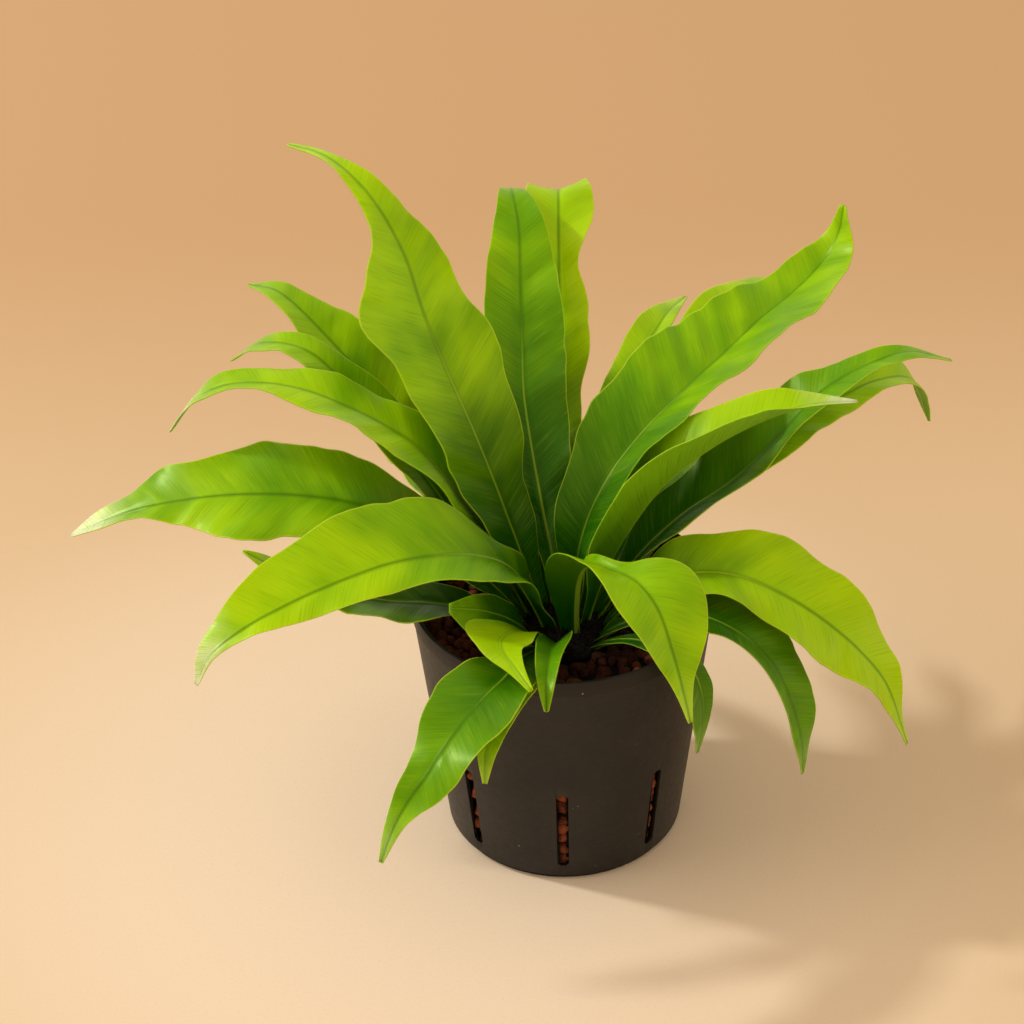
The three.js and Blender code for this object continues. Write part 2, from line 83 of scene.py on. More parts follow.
# Columns of points from the rib to the margin, as shares of the half width
HALF_COLUMNS = [0.0, 0.03, 0.06, 0.1, 0.16, 0.23, 0.31, 0.39, 0.47, 0.55, 0.63, 0.71, 0.79, 0.86, 0.92,
                0.965, 0.99, 1.0]
VEIN_SLANT = 0.7
KEEL_NARROW = 2.4
KEEL_CURVE = 1.3
MARGIN_DROP = 0.12

# Midrib on the upper face
RIDGE_HALF_BASE = 1.2
RIDGE_HALF_TIP = 0.3
RIDGE_HEIGHT = 0.32
GROOVE_DEPTH = 0.14
RELIEF_START = 12.0

# Ripples along the side veins, and the frilled margin
RIPPLE_LENGTH = 7.5
FINE_RIPPLE_LENGTH = 3.2
FINE_RIPPLE_SHARE = 0.25
GUST_LENGTH = 38.0
RIPPLE_START = 18.0
RIPPLE_RISE = 30.0
RIPPLE_END = 20.0
RIPPLE_INNER = 0.25
FRILL_SHARE = 0.022
FRILL_LENGTH = 6.5
FRILL_START = 30.0

# One row for each frond: name, heading in degrees, rib, left and right half widths,
# fold, roll, and wave. The rib lists reach from the crown's axis, height over the
# granules and an optional shift to the left, all in mm. The widths in mm, the fold in
# degrees (how far both halves rise from flat) and the roll in degrees (left edge up)
# are spread evenly from base to tip. The wave is height in mm, count, and two phases.
FRONDS = [
    ["frond_tall_left", 136,
     [[11, -5], [19, 14], [29, 34], [40, 56], [53, 79], [67, 101], [80, 124], [91, 149], [110, 169],
      [135, 178], [160, 175]],
     [4, 12, 20, 23, 26, 35, 10, 4, 1], [3, 8, 15, 24, 27, 19.5, 12, 5, 1], [25, 12, 8, 5], [0, 0, 0],
     [1.6, 6, 0, 90]],
    ["frond_upper_left_1", 143,
     [[16, -5], [29, 9], [48, 26], [67, 46], [87, 67], [107, 87], [129, 102], [151, 113], [170, 111]],
     [2, 4, 6, 9, 13, 15, 13, 8, 1], [2, 5, 10, 15, 17, 17, 16.5, 8.5, 1], [20, 12, 8], [-12, -12, 0],
     [1.4, 5, 40, 200]],
    ["frond_upper_left_2", 155,
     [[17, -5, 2], [29, 12, 1], [46, 33, -2], [63, 54, -3], [79, 75, -2], [98, 95], [117, 109],
      [139, 108], [156, 95]],
     [2, 4, 6, 8, 11, 11, 10, 7, 1], [2, 4, 8, 13, 14, 12, 9, 6, 1], [20, 12, 8], [-10, -10, 0],
     [1.2, 5, 80, 20]],
    ["frond_upper_left_3", 167,
     [[12, -5, -3], [21, 12, -6], [32, 32, -9], [46, 55, -8], [63, 80, -5], [86, 97, -1], [111, 106],
      [136, 106], [157, 96], [171, 77]],
     [2, 6, 12, 15, 17, 15, 8, 5, 1], [2, 6, 11, 15, 15, 14, 11, 7, 1], [20, 12, 8], [0, 0, 0],
     [1.5, 5, 120, 10]],
    ["frond_left_wide", 176,
     [[13, -5], [24, 13], [41, 32], [61, 49], [84, 60], [108, 64], [134, 64], [160, 60], [184, 53],
      [210, 40]],
     [2, 4, 6, 10, 14, 16, 18, 19, 20, 21, 25.5, 22.5, 14, 9.5, 5, 3, 1],
     [2, 4, 6, 8.5, 11, 13, 14, 20.5, 23, 22, 25, 22, 17.5, 18, 11, 6.5, 1], [20, 8, 5],
     [0, -25, -22, -10], [2, 5, 0, 150]],
    ["frond_left_under", 190,
     [[17, -5], [26, 6], [40, 14], [57, 20], [76, 24], [96, 32], [116, 44], [134, 58]],
     [2, 5, 10, 15, 17, 16, 14, 8, 1], [2, 5, 10, 15, 17, 16, 14, 8, 1], [15, 8, 5], [0, 0, 0],
     [1.2, 4, 0, 90]],
    ["frond_front_left_wide", 205,
     [[6, -5], [13, 16], [24, 38], [40, 50], [60, 56], [80, 58], [102, 56], [124, 52], [144, 46],
      [158, 38], [165, 25]],
     [3, 11, 17, 17, 14, 13, 9, 4, 1],
     [3, 8, 11, 12, 11, 18, 25, 27.5, 28, 27, 25, 23, 20, 16, 11, 6, 1], [25, 12, 8, 5],
     [0, -15, -28, -20], [1.6, 5, 30, 100]],
    ["frond_tall_middle", 95,
     [[8, -5, 1], [19, 18, 2], [33, 37, 5], [49, 57, 8], [67, 76, 10], [86, 93, 9], [105, 110, 8],
      [122, 125, 7], [139, 133, 8], [154, 129, 8], [165, 117, 8]],
     [2, 5, 10, 15, 16, 16, 13, 6, 1], [2, 6, 13, 18, 19, 18, 14, 7, 1], [25, 12, 8, 5], [0, 0, 0],
     [1.6, 6, 0, 120]],
    ["frond_tall_middle_back", 90,
     [[15, -5], [28, 14], [45, 34], [63, 53], [82, 71], [102, 89], [121, 105], [139, 118], [156, 124],
      [171, 117], [181, 104]],
     [2, 5, 10, 13, 13, 14, 16, 13, 1],
     [2, 3, 5, 7, 9, 9.5, 9.5, 9.5, 13, 13, 12.5, 8.5, 13, 16.5, 14, 9, 1], [20, 12, 8], [0, 0, 0],
     [2.6, 5, 30, 240]],
    ["frond_tall_right", 45,
     [[8, -5], [8, 20], [13, 45, -1], [25, 66, -3], [46, 79, -3], [72, 87, -2], [98, 93, -1], [122, 99],
      [146, 104], [164, 111], [174, 121], [177, 134]],
     [3, 9, 16, 24, 27, 24, 17, 11, 2], [3, 9, 12, 15, 20, 24, 26, 19, 2], [30, 25, 25, 15], [0, 0, 0],
     [1.6, 6, 0, 70]],
    ["frond_back_right_1", 66,
     [[13, -5, 2], [19, 18, 2], [31, 42, 1], [48, 63], [69, 79], [93, 88], [117, 91], [139, 87]],
     [2, 4, 6, 8, 9, 10, 10, 7, 1], [2, 4, 7, 7, 7, 7, 7, 5, 1], [20, 20, 15], [0, 0, 0],
     [1.4, 4, 0, 90]],
    ["frond_back_right_2", 55,
     [[14, -5], [24, 14], [39, 37], [57, 59], [79, 76], [104, 86], [130, 91], [154, 92], [174, 86]],
     [2, 4, 7, 8, 9, 12, 15, 11, 1], [2, 5, 9, 11, 11, 10, 8, 5, 1], [20, 15, 12], [0, 0, 0],
     [1.4, 4, 60, 10]],
    ["frond_right_folded", 12,
     [[8, -5, -2], [13, 12, -1], [20, 30], [30, 48], [44, 67], [62, 81], [82, 91], [104, 97],
      [127, 96]],
     [2, 6, 14, 19, 19.5, 18, 15, 8, 1], [3, 8, 16, 23, 20, 17, 12, 6, 1], [40, 45, 45, 38, 20],
     [0, -18, -18, 0], [1, 4, 0, 90]],
    ["frond_right_long", 20,
     [[13, -5], [23, 12], [37, 30], [56, 45], [77, 56], [98, 73], [116, 91], [136, 100], [157, 103],
      [178, 94]],
     [2, 6, 13, 18, 20, 17, 10, 5, 1], [2, 6, 9, 11, 11, 10, 10, 6, 1], [25, 18, 12, 5], [0, 0, 0],
     [1.4, 5, 0, 90]],
    ["frond_right_under", 28,
     [[17, -5], [27, 9], [43, 27], [61, 41], [83, 52], [108, 63], [133, 72], [156, 76], [175, 70],
      [185, 46]],
     [2, 5, 11, 15, 15, 13, 12, 9, 1], [2, 3, 6, 9, 11, 11, 9, 8, 1], [15, 8, 8], [0, 8, 8, 0],
     [1.4, 5, 0, 90]],
    ["frond_right_low", -10,
     [[16, -5], [23, 9], [37, 25], [55, 34], [75, 35], [95, 27], [113, 15], [128, 1], [140, -16],
      [150, -46]],
     [2, 5, 16, 21, 23.5, 20.5, 15, 6, 1], [2, 4, 12, 15, 17, 19, 14, 6, 1], [20, 10, 5],
     [0, 15, 28, 20], [2, 5, 0, 120]],
    ["frond_right_hanging", -24,
     [[14, -5, -3], [22, 5, -3], [32, 13, -2], [47, 21], [65, 24], [83, 19], [97, 6], [106, -14],
      [110, -30], [111, -46]],
     [2, 5, 10, 14, 15, 15, 14, 9, 1], [2, 4, 7, 9, 7, 5, 6, 5, 1], [15, 8, 5], [0, 10, 10],
     [1.3, 4, 0, 90]],
    ["frond_front_right", -56,
     [[10, -5], [10, 16], [13, 34], [21, 45], [35, 49, 2], [50, 52, 3], [65, 47, 3], [79, 33, 1],
      [88, 18], [92, 8]],
     [2, 5, 6, 5, 8, 22, 18, 7, 1], [4, 9, 14, 16, 17, 18, 13, 5, 1], [30, 42, 10, 5], [0, 0, 0],
     [1.2, 4, 0, 90]],
    ["frond_rim_right", -40,
     [[16, -5, -3], [23, 3, -3], [34, 11, -4], [46, 17, -5], [61, 20, -6], [70, 17, -4], [75, 4, -1],
      [76, -14, 0], [75, -30, -2]],
     [1.5, 2, 4, 5, 6, 6, 6, 4, 1], [1.5, 3, 5, 6, 6, 8, 8, 6, 1], [15, 8, 5], [0, 0, 0],
     [0.8, 3, 0, 90]],
    ["frond_front_lobed", 212,
     [[15, -5, 2], [21, 8, 3], [30, 18, 2], [41, 25, 0], [53, 28, -5]],
     [1.5, 4, 7, 6, 13, 8, 14, 9, 2], [1.5, 4, 8, 9, 8, 9, 8, 5, 2], [10, 5, 0], [0, -30, -40],
     [1, 2, 0, 90]],
    ["frond_front_pointed", 245,
     [[11, -5, 0], [23, 9, -2], [38, 22, -4], [52, 28, -4], [64, 32, 2], [73, 33, 12], [80, 30, 23]],
     [1.5, 4, 7, 9, 13, 12, 8, 4, 1], [1.5, 3, 4, 9, 17, 13, 8, 3, 1], [15, 8, 5], [0, 0, 0],
     [0.8, 3, 0, 90]],
    ["frond_front_left_low", 243,
     [[15, -5, 3], [23, 5, 2], [36, 12, 4], [53, 20, 6], [69, 23, 8], [85, 24, 7], [99, 21, 5],
      [112, 16, 3], [122, 8], [129, -2, -5], [136, -14, -9], [142, -26, -11]],
     [1.5, 3, 6, 14, 18, 16, 12, 5, 1], [1.5, 3, 6, 15, 20, 15, 9, 5, 1], [15, 10, 5], [0, 0, 0],
     [1.5, 5, 0, 90]],
    ["frond_front_small", 254,
     [[15, -5, 4], [23, 4, 5], [37, 10, 5], [55, 17, 4], [68, 19, 2], [84, 16, -2], [98, 9, -4],
      [103, -5, -4]],
     [1.5, 2, 3, 4, 6, 6, 6, 4, 1], [1.5, 2, 3, 4, 5, 6, 6, 4, 1], [15, 8, 5], [0, 0, 0],
     [0.6, 3, 0, 90]],
    ["frond_front_curled", 270,
     [[12, -5], [24, 8, -2], [40, 20, -4], [58, 26, -6], [72, 25, -7], [82, 19, -7]],
     [1.5, 4, 7, 9, 10, 8, 6, 4, 1], [1.5, 3, 5, 7, 8, 7, 6, 4, 1], [35, 35, 30], [0, 0, 0],
     [0.6, 3, 0, 90]],
    ["frond_back_1", 124,
     [[15, -5], [22, 5], [35, 11], [52, 15], [74, 18], [98, 20], [122, 17], [142, 8]],
     [2, 4, 8, 14, 16, 14, 11, 7, 1], [2, 4, 8, 14, 16, 14, 11, 7, 1], [15, 10, 5], [0, 0, 0],
     [1.4, 4, 0, 90]],
    ["frond_back_2", 104,
     [[17, -5], [30, 12], [50, 27], [74, 38], [98, 43], [122, 41], [142, 33]],
     [2, 4, 8, 14, 16, 14, 11, 7, 1], [2, 4, 8, 14, 16, 14, 11, 7, 1], [15, 10, 5], [0, 0, 0],
     [1.4, 4, 50, 0]],
    ["frond_back_3", 76,
     [[17, -5, -1], [22, 4, -1], [34, 11, -1], [52, 18], [76, 25], [100, 28], [122, 25], [142, 16]],
     [2, 3, 8, 14, 16, 14, 11, 7, 1], [2, 4, 8, 14, 16, 14, 11, 7, 1], [15, 10, 5], [0, 0, 0],
     [1.4, 4, 90, 0]],
    ["frond_back_4", 44,
     [[17, -5, 0], [22, 4, 1], [33, 11, 3], [50, 17, 5], [73, 21, 9], [96, 23, 12], [118, 20, 15],
      [136, 11, 17]],
     [2, 3, 7, 13, 16, 14, 11, 7, 1], [2, 3, 7, 13, 16, 14, 11, 7, 1], [15, 10, 5], [0, 0, 0],
     [1.4, 4, 20, 0]],
]

# How a frond's surface differs from the rest: tone (0 mid green to 1 lime, set partly as
# painted light and shade on each frond), how far the dark green reaches from the base in mm
# (partly painted shade near the crown), height of its ripples in mm, how strong the painted
# highlight at its tip is and how dark its midrib is (both 0 to 1)
LOOKS = {
    "frond_tall_left": (0.6, 98, 1.0, 0.1, 0.1),
    "frond_upper_left_1": (0.35, 110, 0.9, 0.1, 0.4),
    "frond_upper_left_2": (0.28, 90, 0.8, 0.3, 0.3),
    "frond_upper_left_3": (0.5, 62, 0.8, 1.0, 0.4),
    "frond_left_wide": (0.3, 90, 0.9, 1.0, 0.6),
    "frond_left_under": (0.45, 80, 0.8, 0.0, 0.3),
    "frond_front_left_wide": (0.6, 62, 0.6, 1.0, 0.6),
    "frond_tall_middle": (0.1, 115, 1.0, 0.2, 0.2),
    "frond_tall_middle_back": (0.65, 90, 1.0, 0.2, 0.4),
    "frond_tall_right": (0.3, 90, 1.0, 0.0, 0.2),
    "frond_back_right_1": (0.45, 80, 0.7, 0.1, 0.3),
    "frond_back_right_2": (0.45, 80, 0.7, 0.1, 0.3),
    # Painted highlight: tone and tip raised to stand in for the gloss on this folded frond
    "frond_right_folded": (0.7, 80, 0.7, 0.9, 0.1),
    "frond_right_long": (0.0, 105, 0.9, 0.1, 0.4),
    "frond_right_under": (0.35, 60, 0.9, 0.2, 0.4),
    "frond_right_low": (0.85, 62, 0.8, 0.1, 0.5),
    "frond_right_hanging": (0.0, 100, 0.8, 0.1, 0.6),
    "frond_front_right": (0.58, 36, 0.6, 0.1, 0.7),
    "frond_rim_right": (0.0, 85, 0.5, 0.1, 0.5),
    "frond_front_lobed": (0.15, 45, 0.5, 0.0, 0.2),
    "frond_front_pointed": (0.7, 30, 0.4, 0.0, 0.3),
    "frond_front_left_low": (0.05, 85, 0.9, 0.2, 0.6),
    "frond_front_small": (0.3, 60, 0.4, 0.1, 0.4),
    "frond_front_curled": (0.0, 50, 0.4, 0.0, 0.3),
}
PLAIN_LOOK = (0.25, 100, 0.8, 0.1, 0.4)


def smooth(values, t):
    """Values at t (0 to 1) on a smooth curve through evenly spaced numbers or points"""
    rows = np.asarray(values, float)
    last = len(rows) - 1
    x = np.clip(np.atleast_1d(t), 0, 1) * last
    i = np.minimum(np.floor(x).astype(int), last - 1)
    f = x - i
    padded = np.concatenate([[2 * rows[0] - rows[1]], rows, [2 * rows[-1] - rows[-2]]])
    a, b, c, d = (padded[i + k] for k in range(4))
    if rows.ndim > 1:
        f = f[:, None]
    return b + 0.5 * ((c - a) * f + (2 * a - 5 * b + 4 * c - d) * f**2 + (3 * b - a - 3 * c + d) * f**3)


def unit(rows):
    """Rows scaled to a length of 1"""
    return rows / np.linalg.norm(rows, axis=-1, keepdims=True)


def rib_line(heading, rib):
    """The rib's points in space, its flat left, its length and shares of length by curve time"""
    turn = math.radians(heading)
    out = np.array([math.cos(turn), math.sin(turn), 0])
    left = np.array([-math.sin(turn), math.cos(turn), 0])
    start = np.array([CROWN_X, CROWN_Y, SOIL_Z])
    points = []
    for reach, height, *side in rib:
        points.append(start + out * reach + left * (side[0] if side else 0) + np.array([0, 0, height]))
    points = np.array(points)
    times = np.linspace(0, 1, RIB_SAMPLES + 1)
    steps = np.linalg.norm(np.diff(smooth(points, times), axis=0), axis=1)
    lengths = np.concatenate([[0], np.cumsum(steps)])
    return points, left, lengths[-1], times, lengths / lengths[-1]


def rib_frames(points, flat_left, times, shares, rolls, u):
    """Place, left side and upper side of the blade at shares u of its length"""
    step = TIME_STEP
    t = np.interp(u, shares, times)
    along = unit(smooth(points, np.clip(t + step, 0, 1)) - smooth(points, np.clip(t - step, 0, 1)))
    level = unit(flat_left - (along @ flat_left)[:, None] * along)
    upward = np.cross(along, level)
    roll = np.radians(smooth(rolls, u))[:, None]
    left = level * np.cos(roll) + upward * np.sin(roll)
    up = upward * np.cos(roll) - level * np.sin(roll)
    return smooth(points, t), left, up


def soft_noise(x, seed):
    """Smooth random curve, about -1 to 1, that changes over a distance of about 1"""
    rng = np.random.default_rng(seed)
    knots = rng.uniform(-1, 1, 256)
    i = np.floor(x).astype(int)
    f = x - i
    ease = f * f * (3 - 2 * f)
    return knots[i % 256] * (1 - ease) + knots[(i + 1) % 256] * ease


def ripple_height(s, across, part, length, height, seed):
    """Low ripples that follow the side veins, strongest between the rib and the margin"""
    q = s - VEIN_SLANT * np.abs(across)
    side = np.where(across >= 0, 0, 500)
    fine = soft_noise(q / FINE_RIPPLE_LENGTH + side + 90, seed + 1)
    waves = soft_noise(q / RIPPLE_LENGTH + side, seed) + FINE_RIPPLE_SHARE * fine
    gusts = 0.55 + 0.45 * soft_noise(q / GUST_LENGTH + side + 40, seed + 2)
    belly = np.clip(part / RIPPLE_INNER, 0, 1) * np.clip((s - RIPPLE_START) / RIPPLE_RISE, 0, 1)
    belly = belly * np.clip((length - s) / RIPPLE_END, 0, 1)
    return height * waves * gusts * belly


def rib_relief(across, u):
    """Raised midrib on the upper face, wide near the base and fine toward the tip"""
    half = RIDGE_HALF_BASE * (1 - u) ** 0.8 + RIDGE_HALF_TIP
    ridge = RIDGE_HEIGHT * (1 - 0.75 * u) * np.exp(-((across / half) ** 2) * 2.2)
    groove = GROOVE_DEPTH * np.exp(-(((np.abs(across) - 1.9 * half) / (0.7 * half)) ** 2))
    return ridge - groove


def blade_grid(row, height, seed):
    """Grids of upper and lower points of a blade, with its place and zone at each point"""
    heading, rib, lefts, rights, folds, rolls, wave = row[1:]
    points, flat_left, length, times, shares = rib_line(heading, rib)
    count = int(length / STATION_STEP)
    u = np.linspace(0, 1, count + 1)
    place, left, up = rib_frames(points, flat_left, times, shares, rolls, u)
    v = np.array([-x for x in HALF_COLUMNS[:0:-1]] + HALF_COLUMNS)
    side = np.sign(v)[None, :]
    part = np.abs(v)[None, :]
    wave_height, wave_count, left_phase, right_phase = wave
    s = (u * length)[:, None] + 0 * part
    half_shift = np.where(v >= 0, 0, 300)[None, :]
    frill = 1 + FRILL_SHARE * soft_noise(s / FRILL_LENGTH + half_shift, seed + 5) * (s > FRILL_START)
    width = np.where(v[None, :] >= 0, smooth(lefts, u)[:, None], smooth(rights, u)[:, None]) * frill
    fold = np.radians(smooth(folds, u))[:, None]
    phase = np.radians(np.where(v >= 0, left_phase, right_phase))[None, :]
    calm = np.minimum(1, width / CALM_WIDTH)
    swell = wave_height * calm * part**2 * np.sin(2 * math.pi * wave_count * u[:, None] + phase)
    flat_across = side * width * part
    swell = swell + calm * ripple_height(s, flat_across, part, length, height, seed)
    across = flat_across * np.cos(fold)
    rise = width * part * np.sin(fold) + swell
    keel = KEEL_BASE + (KEEL_TIP - KEEL_BASE) * np.minimum(1, u * KEEL_FADE)[:, None]
    thick = MARGIN_THICK + (keel - MARGIN_THICK) * np.clip(1 - part * KEEL_NARROW, 0, 1) ** KEEL_CURVE
    middle = place[:, None, :] + left[:, None, :] * across[..., None] + up[:, None, :] * rise[..., None]
    normal = up[:, None, :] * np.cos(fold)[..., None] - left[:, None, :] * (side * np.sin(fold))[..., None]
    above = UPPER_OFFSET - MARGIN_DROP * part**8
    above = above + rib_relief(flat_across, u[:, None]) * np.clip(s / RELIEF_START, 0, 1)
    upper = middle + normal * above[..., None]
    lower = middle - normal * (thick - UPPER_OFFSET)[..., None]
    return upper, lower, s, flat_across, part + 0 * s, length


def grid_faces(rows, columns):
    """Faces of a closed blade: upper grid first, then the lower grid, both rows x columns"""
    upper = np.arange(rows * columns).reshape(rows, columns)
    lower = upper + rows * columns
    faces = []

    def strip(a, b, c, d):
        faces.append(np.stack([a.ravel(), b.ravel(), c.ravel(), d.ravel()], axis=1))

    strip(upper[:-1, :-1], upper[1:, :-1], upper[1:, 1:], upper[:-1, 1:])
    strip(lower[:-1, :-1], lower[:-1, 1:], lower[1:, 1:], lower[1:, :-1])
    strip(upper[:-1, -1], upper[1:, -1], lower[1:, -1], lower[:-1, -1])
    strip(upper[:-1, 0], lower[:-1, 0], lower[1:, 0], upper[1:, 0])
    strip(upper[0, :-1], upper[0, 1:], lower[0, 1:], lower[0, :-1])
    strip(upper[-1, :-1], lower[-1, :-1], lower[-1, 1:], upper[-1, 1:])
    return np.concatenate(faces)


def add_mesh(name, points, faces, material):
    """New object from points in mm and a list of faces"""
    mesh = bpy.data.meshes.new(name)
    mesh.from_pydata((np.asarray(points) * MM).tolist(), [], [list(map(int, face)) for face in faces])
    mesh.polygons.foreach_set("use_smooth", [True] * len(mesh.polygons))
    mesh.materials.append(material)
    mesh.update()
    piece = bpy.data.objects.new(name, mesh)
    bpy.context.scene.collection.objects.link(piece)
    return piece


def add_vectors(piece, name, rows):
    """Three numbers for each point of a piece, for its material to read"""
    layer = piece.data.attributes.new(name, "FLOAT_VECTOR", "POINT")
    layer.data.foreach_set("vector", np.asarray(rows, np.float32).ravel())


def finish_piece(piece, node):
    """Says what a piece rides on and hides the node it stands for"""
    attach(piece, "root")
    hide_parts(node)


def make_frond(row, material, seed):
    """One closed blade, with the numbers that its material reads at each point"""
    name = row[0]
    tone, deep, height, pale, rib_dark = LOOKS.get(name, PLAIN_LOOK)
    upper, lower, s, across, part, length = blade_grid(row, height, seed)
    rows, columns = s.shape
    points = np.concatenate([upper.reshape(-1, 3), lower.reshape(-1, 3)])
    piece = add_mesh(name + "_blade", points, grid_faces(rows, columns), material)
    once = np.stack([s, across, s / length], axis=-1).reshape(-1, 3)
    add_vectors(piece, "blade_place", np.concatenate([once, once]))
    face = np.concatenate([np.ones(rows * columns), np.zeros(rows * columns)])
    twice = np.concatenate([part.ravel(), part.ravel()])
    add_vectors(piece, "blade_zone", np.stack([twice, face, np.full(len(face), tone)], axis=1))
    # Marks for the material: reach of the dark base, strength of the painted tip highlight and a seed
    marks = np.stack([np.full(len(face), deep), np.full(len(face), pale), np.full(len(face), seed)], axis=1)
    add_vectors(piece, "blade_marks", marks)
    add_vectors(piece, "blade_rib", np.full((len(face), 3), rib_dark))
    finish_piece(piece, name)


# Pot

POT_SEGMENTS = 192
EDGE_ROUND = 0.3
SLOT_CORNER = 1.4
SLOT_REACH = 20.0
EDGE_ANGLE = 30.0
SHARP_ANGLE = 35.0


def wall_radius(z):
    """Outer radius of the tapered wall at a height"""
    low = FOOT_HEIGHT + FOOT_BEVEL
    high = POT_HEIGHT - BAND_HEIGHT
    return BASE_RADIUS + (RIM_RADIUS - BAND_PROUD - BASE_RADIUS) * (z - low) / (high - low)


def inner_radius(z):
    """Inner radius of the wall at a height"""
    return wall_radius(z) - WALL


def turned(profile, segments):
    """Points and faces of a turned body from [radius, z] pairs that start and end on the axis"""
    turns = np.linspace(0, 2 * math.pi, segments, endpoint=False)
    rings = profile[1:-1]
    points = [[0, 0, profile[0][1]], [0, 0, profile[-1][1]]]
    for radius, z in rings:
        points.extend([radius * math.cos(a), radius * math.sin(a), z] for a in turns)
    faces = []
    for k in range(segments):
        after = (k + 1) % segments
        faces.append([0, 2 + after, 2 + k])
        for ring in range(len(rings) - 1):
            low = 2 + ring * segments
            high = low + segments
            faces.append([low + k, low + after, high + after, high + k])
        top = 2 + (len(rings) - 1) * segments
        faces.append([1, top + k, top + after])
    return points, faces


def slot_cutter():
    """Points and faces of eight upright bars that cut the slots"""
    half = SLOT_WIDTH / 2
    corner = SLOT_CORNER
    outline = [(-half + corner, SLOT_LOW), (half - corner, SLOT_LOW), (half, SLOT_LOW + corner),
               (half, SLOT_HIGH - corner), (half - corner, SLOT_HIGH), (-half + corner, SLOT_HIGH),
               (-half, SLOT_HIGH - corner), (-half, SLOT_LOW + corner)]
    count = len(outline)
    points = []
    faces = []
    for k in range(SLOT_COUNT):
        turn = math.radians(SLOT_TURN + k * 360 / SLOT_COUNT)
        start = len(points)
        for reach in (RIM_RADIUS - SLOT_REACH, RIM_RADIUS):
            for across, z in outline:
                x = reach * math.cos(turn) - across * math.sin(turn)
                y = reach * math.sin(turn) + across * math.cos(turn)
                points.append([x, y, z])
        inside = [start + j for j in range(count)]
        outside = [start + count + j for j in range(count)]
        faces.append(inside[::-1])
        faces.append(outside)
        for j in range(count):
            after = (j + 1) % count
            faces.append([inside[j], inside[after], outside[after], outside[j]])
    return points, faces


def settle(piece):
    """Turns the modifiers of a piece into its mesh"""
    graph = bpy.context.evaluated_depsgraph_get()
    done = bpy.data.meshes.new_from_object(piece.evaluated_get(graph))
    piece.modifiers.clear()
    piece.data = done


def make_pot(material):
    """Hollow pot with its slots cut and its edges rounded"""
    band_bottom = POT_HEIGHT - BAND_HEIGHT
    step_radius = RIM_RADIUS - RIM_LIP
    step_z = POT_HEIGHT - RIM_STEP_DROP
    profile = [
        [0, 0], [FOOT_RADIUS, 0], [FOOT_RADIUS, FOOT_HEIGHT], [BASE_RADIUS, FOOT_HEIGHT + FOOT_BEVEL],
        [wall_radius(POT_HEIGHT / 2), POT_HEIGHT / 2], [wall_radius(band_bottom), band_bottom],
        [RIM_RADIUS, band_bottom + BAND_PROUD],
        [RIM_RADIUS, POT_HEIGHT], [step_radius, POT_HEIGHT], [step_radius, step_z],
        [step_radius - RIM_STEP_WIDTH, step_z], [inner_radius(band_bottom), band_bottom],
        [inner_radius(FLOOR_THICK), FLOOR_THICK], [0, FLOOR_THICK],
    ]
    pot = add_mesh("slotted_pot", *turned(profile, POT_SEGMENTS), material)
    cutter = add_mesh("slot_cutter", *slot_cutter(), material)
    cut = pot.modifiers.new("slots", "BOOLEAN")
    cut.operation = "DIFFERENCE"
    cut.solver = "EXACT"
    cut.object = cutter
    edge = pot.modifiers.new("edges", "BEVEL")
    edge.width = EDGE_ROUND * MM
    edge.segments = 2
    edge.limit_method = "ANGLE"
    edge.angle_limit = math.radians(EDGE_ANGLE)
    settle(pot)
    bpy.data.objects.remove(cutter)
    pot.data.polygons.foreach_set("use_smooth", [True] * len(pot.data.polygons))
    pot.data.set_sharp_from_angle(angle=math.radians(SHARP_ANGLE))
    finish_piece(pot, "pot")


# Clay granules

BED_PELLETS = 330
PELLET_MIN = 2.0
PELLET_MAX = 4.3
BED_TRIES = 9000
BED_Z = 104.0
BED_MARGIN = 0.6
PELLET_SPACING = 0.74
SLOT_PELLET_MIN = 2.8
SLOT_PELLET_MAX = 4.2
CORE_GAP = 3.6
CORE_LUMP = 0.012
CORE_FLOOR_GAP = 0.5
CORE_TOP_DROP = 2.5
CROWN_CLEAR = 0.4
CLAY_SEED = 11
# Pairs of how fine the dents of a pellet are and how deep, as a share of its radius
PELLET_DENTS = ((1.7, 0.16), (3.1, 0.1), (6.0, 0.05), (11.0, 0.025))
FULL_TURN = 6.28


def ball():
    """Points and faces of a round body of radius 1 made of triangles"""
    mesh = bmesh.new()
    bmesh.ops.create_icosphere(mesh, subdivisions=3, radius=1)
    mesh.verts.ensure_lookup_table()
    points = np.array([v.co[:] for v in mesh.verts])
    faces = np.array([[v.index for v in f.verts] for f in mesh.faces])
    mesh.free()
    return points, faces


def lumpy(points, rng):
    """A round body squeezed, turned and dented at random"""
    lumps = np.zeros(len(points))
    for pitch, depth in PELLET_DENTS:
        for _ in range(2):
            way = unit(rng.normal(size=3)) * pitch
            lumps += depth * np.sin(points @ way + rng.uniform(0, FULL_TURN))
    shaped = points * (1 + lumps)[:, None] * rng.uniform([0.85, 0.75, 0.7], [1.15, 1.0, 0.95])
    angle = rng.uniform(0, FULL_TURN)
    turn = Matrix.Rotation(angle, 3, Vector(unit(rng.normal(size=3))))
    return shaped @ np.array(turn).T


def bed_places(rng):
    """Places and sizes of the pellets on top, drawn at random so that they hardly overlap"""
    chosen = []
    limit = inner_radius(BED_Z) - BED_MARGIN
    for _ in range(BED_TRIES):
        size = rng.uniform(PELLET_MIN, PELLET_MAX)
        radius = math.sqrt(rng.uniform(0, 1)) * (limit - size)
        angle = rng.uniform(0, 2 * math.pi)
        x, y = radius * math.cos(angle), radius * math.sin(angle)
        z = BED_Z + rng.uniform(-2.2, 0.6)
        if math.hypot(x - CROWN_X, y - CROWN_Y) < CROWN_RADIUS - 1 + size:
            continue
        if all(math.dist((x, y, z), other[:3]) > PELLET_SPACING * (size + other[3]) for other in chosen):
            chosen.append((x, y, z, size))
        if len(chosen) == BED_PELLETS:
            break
    return chosen


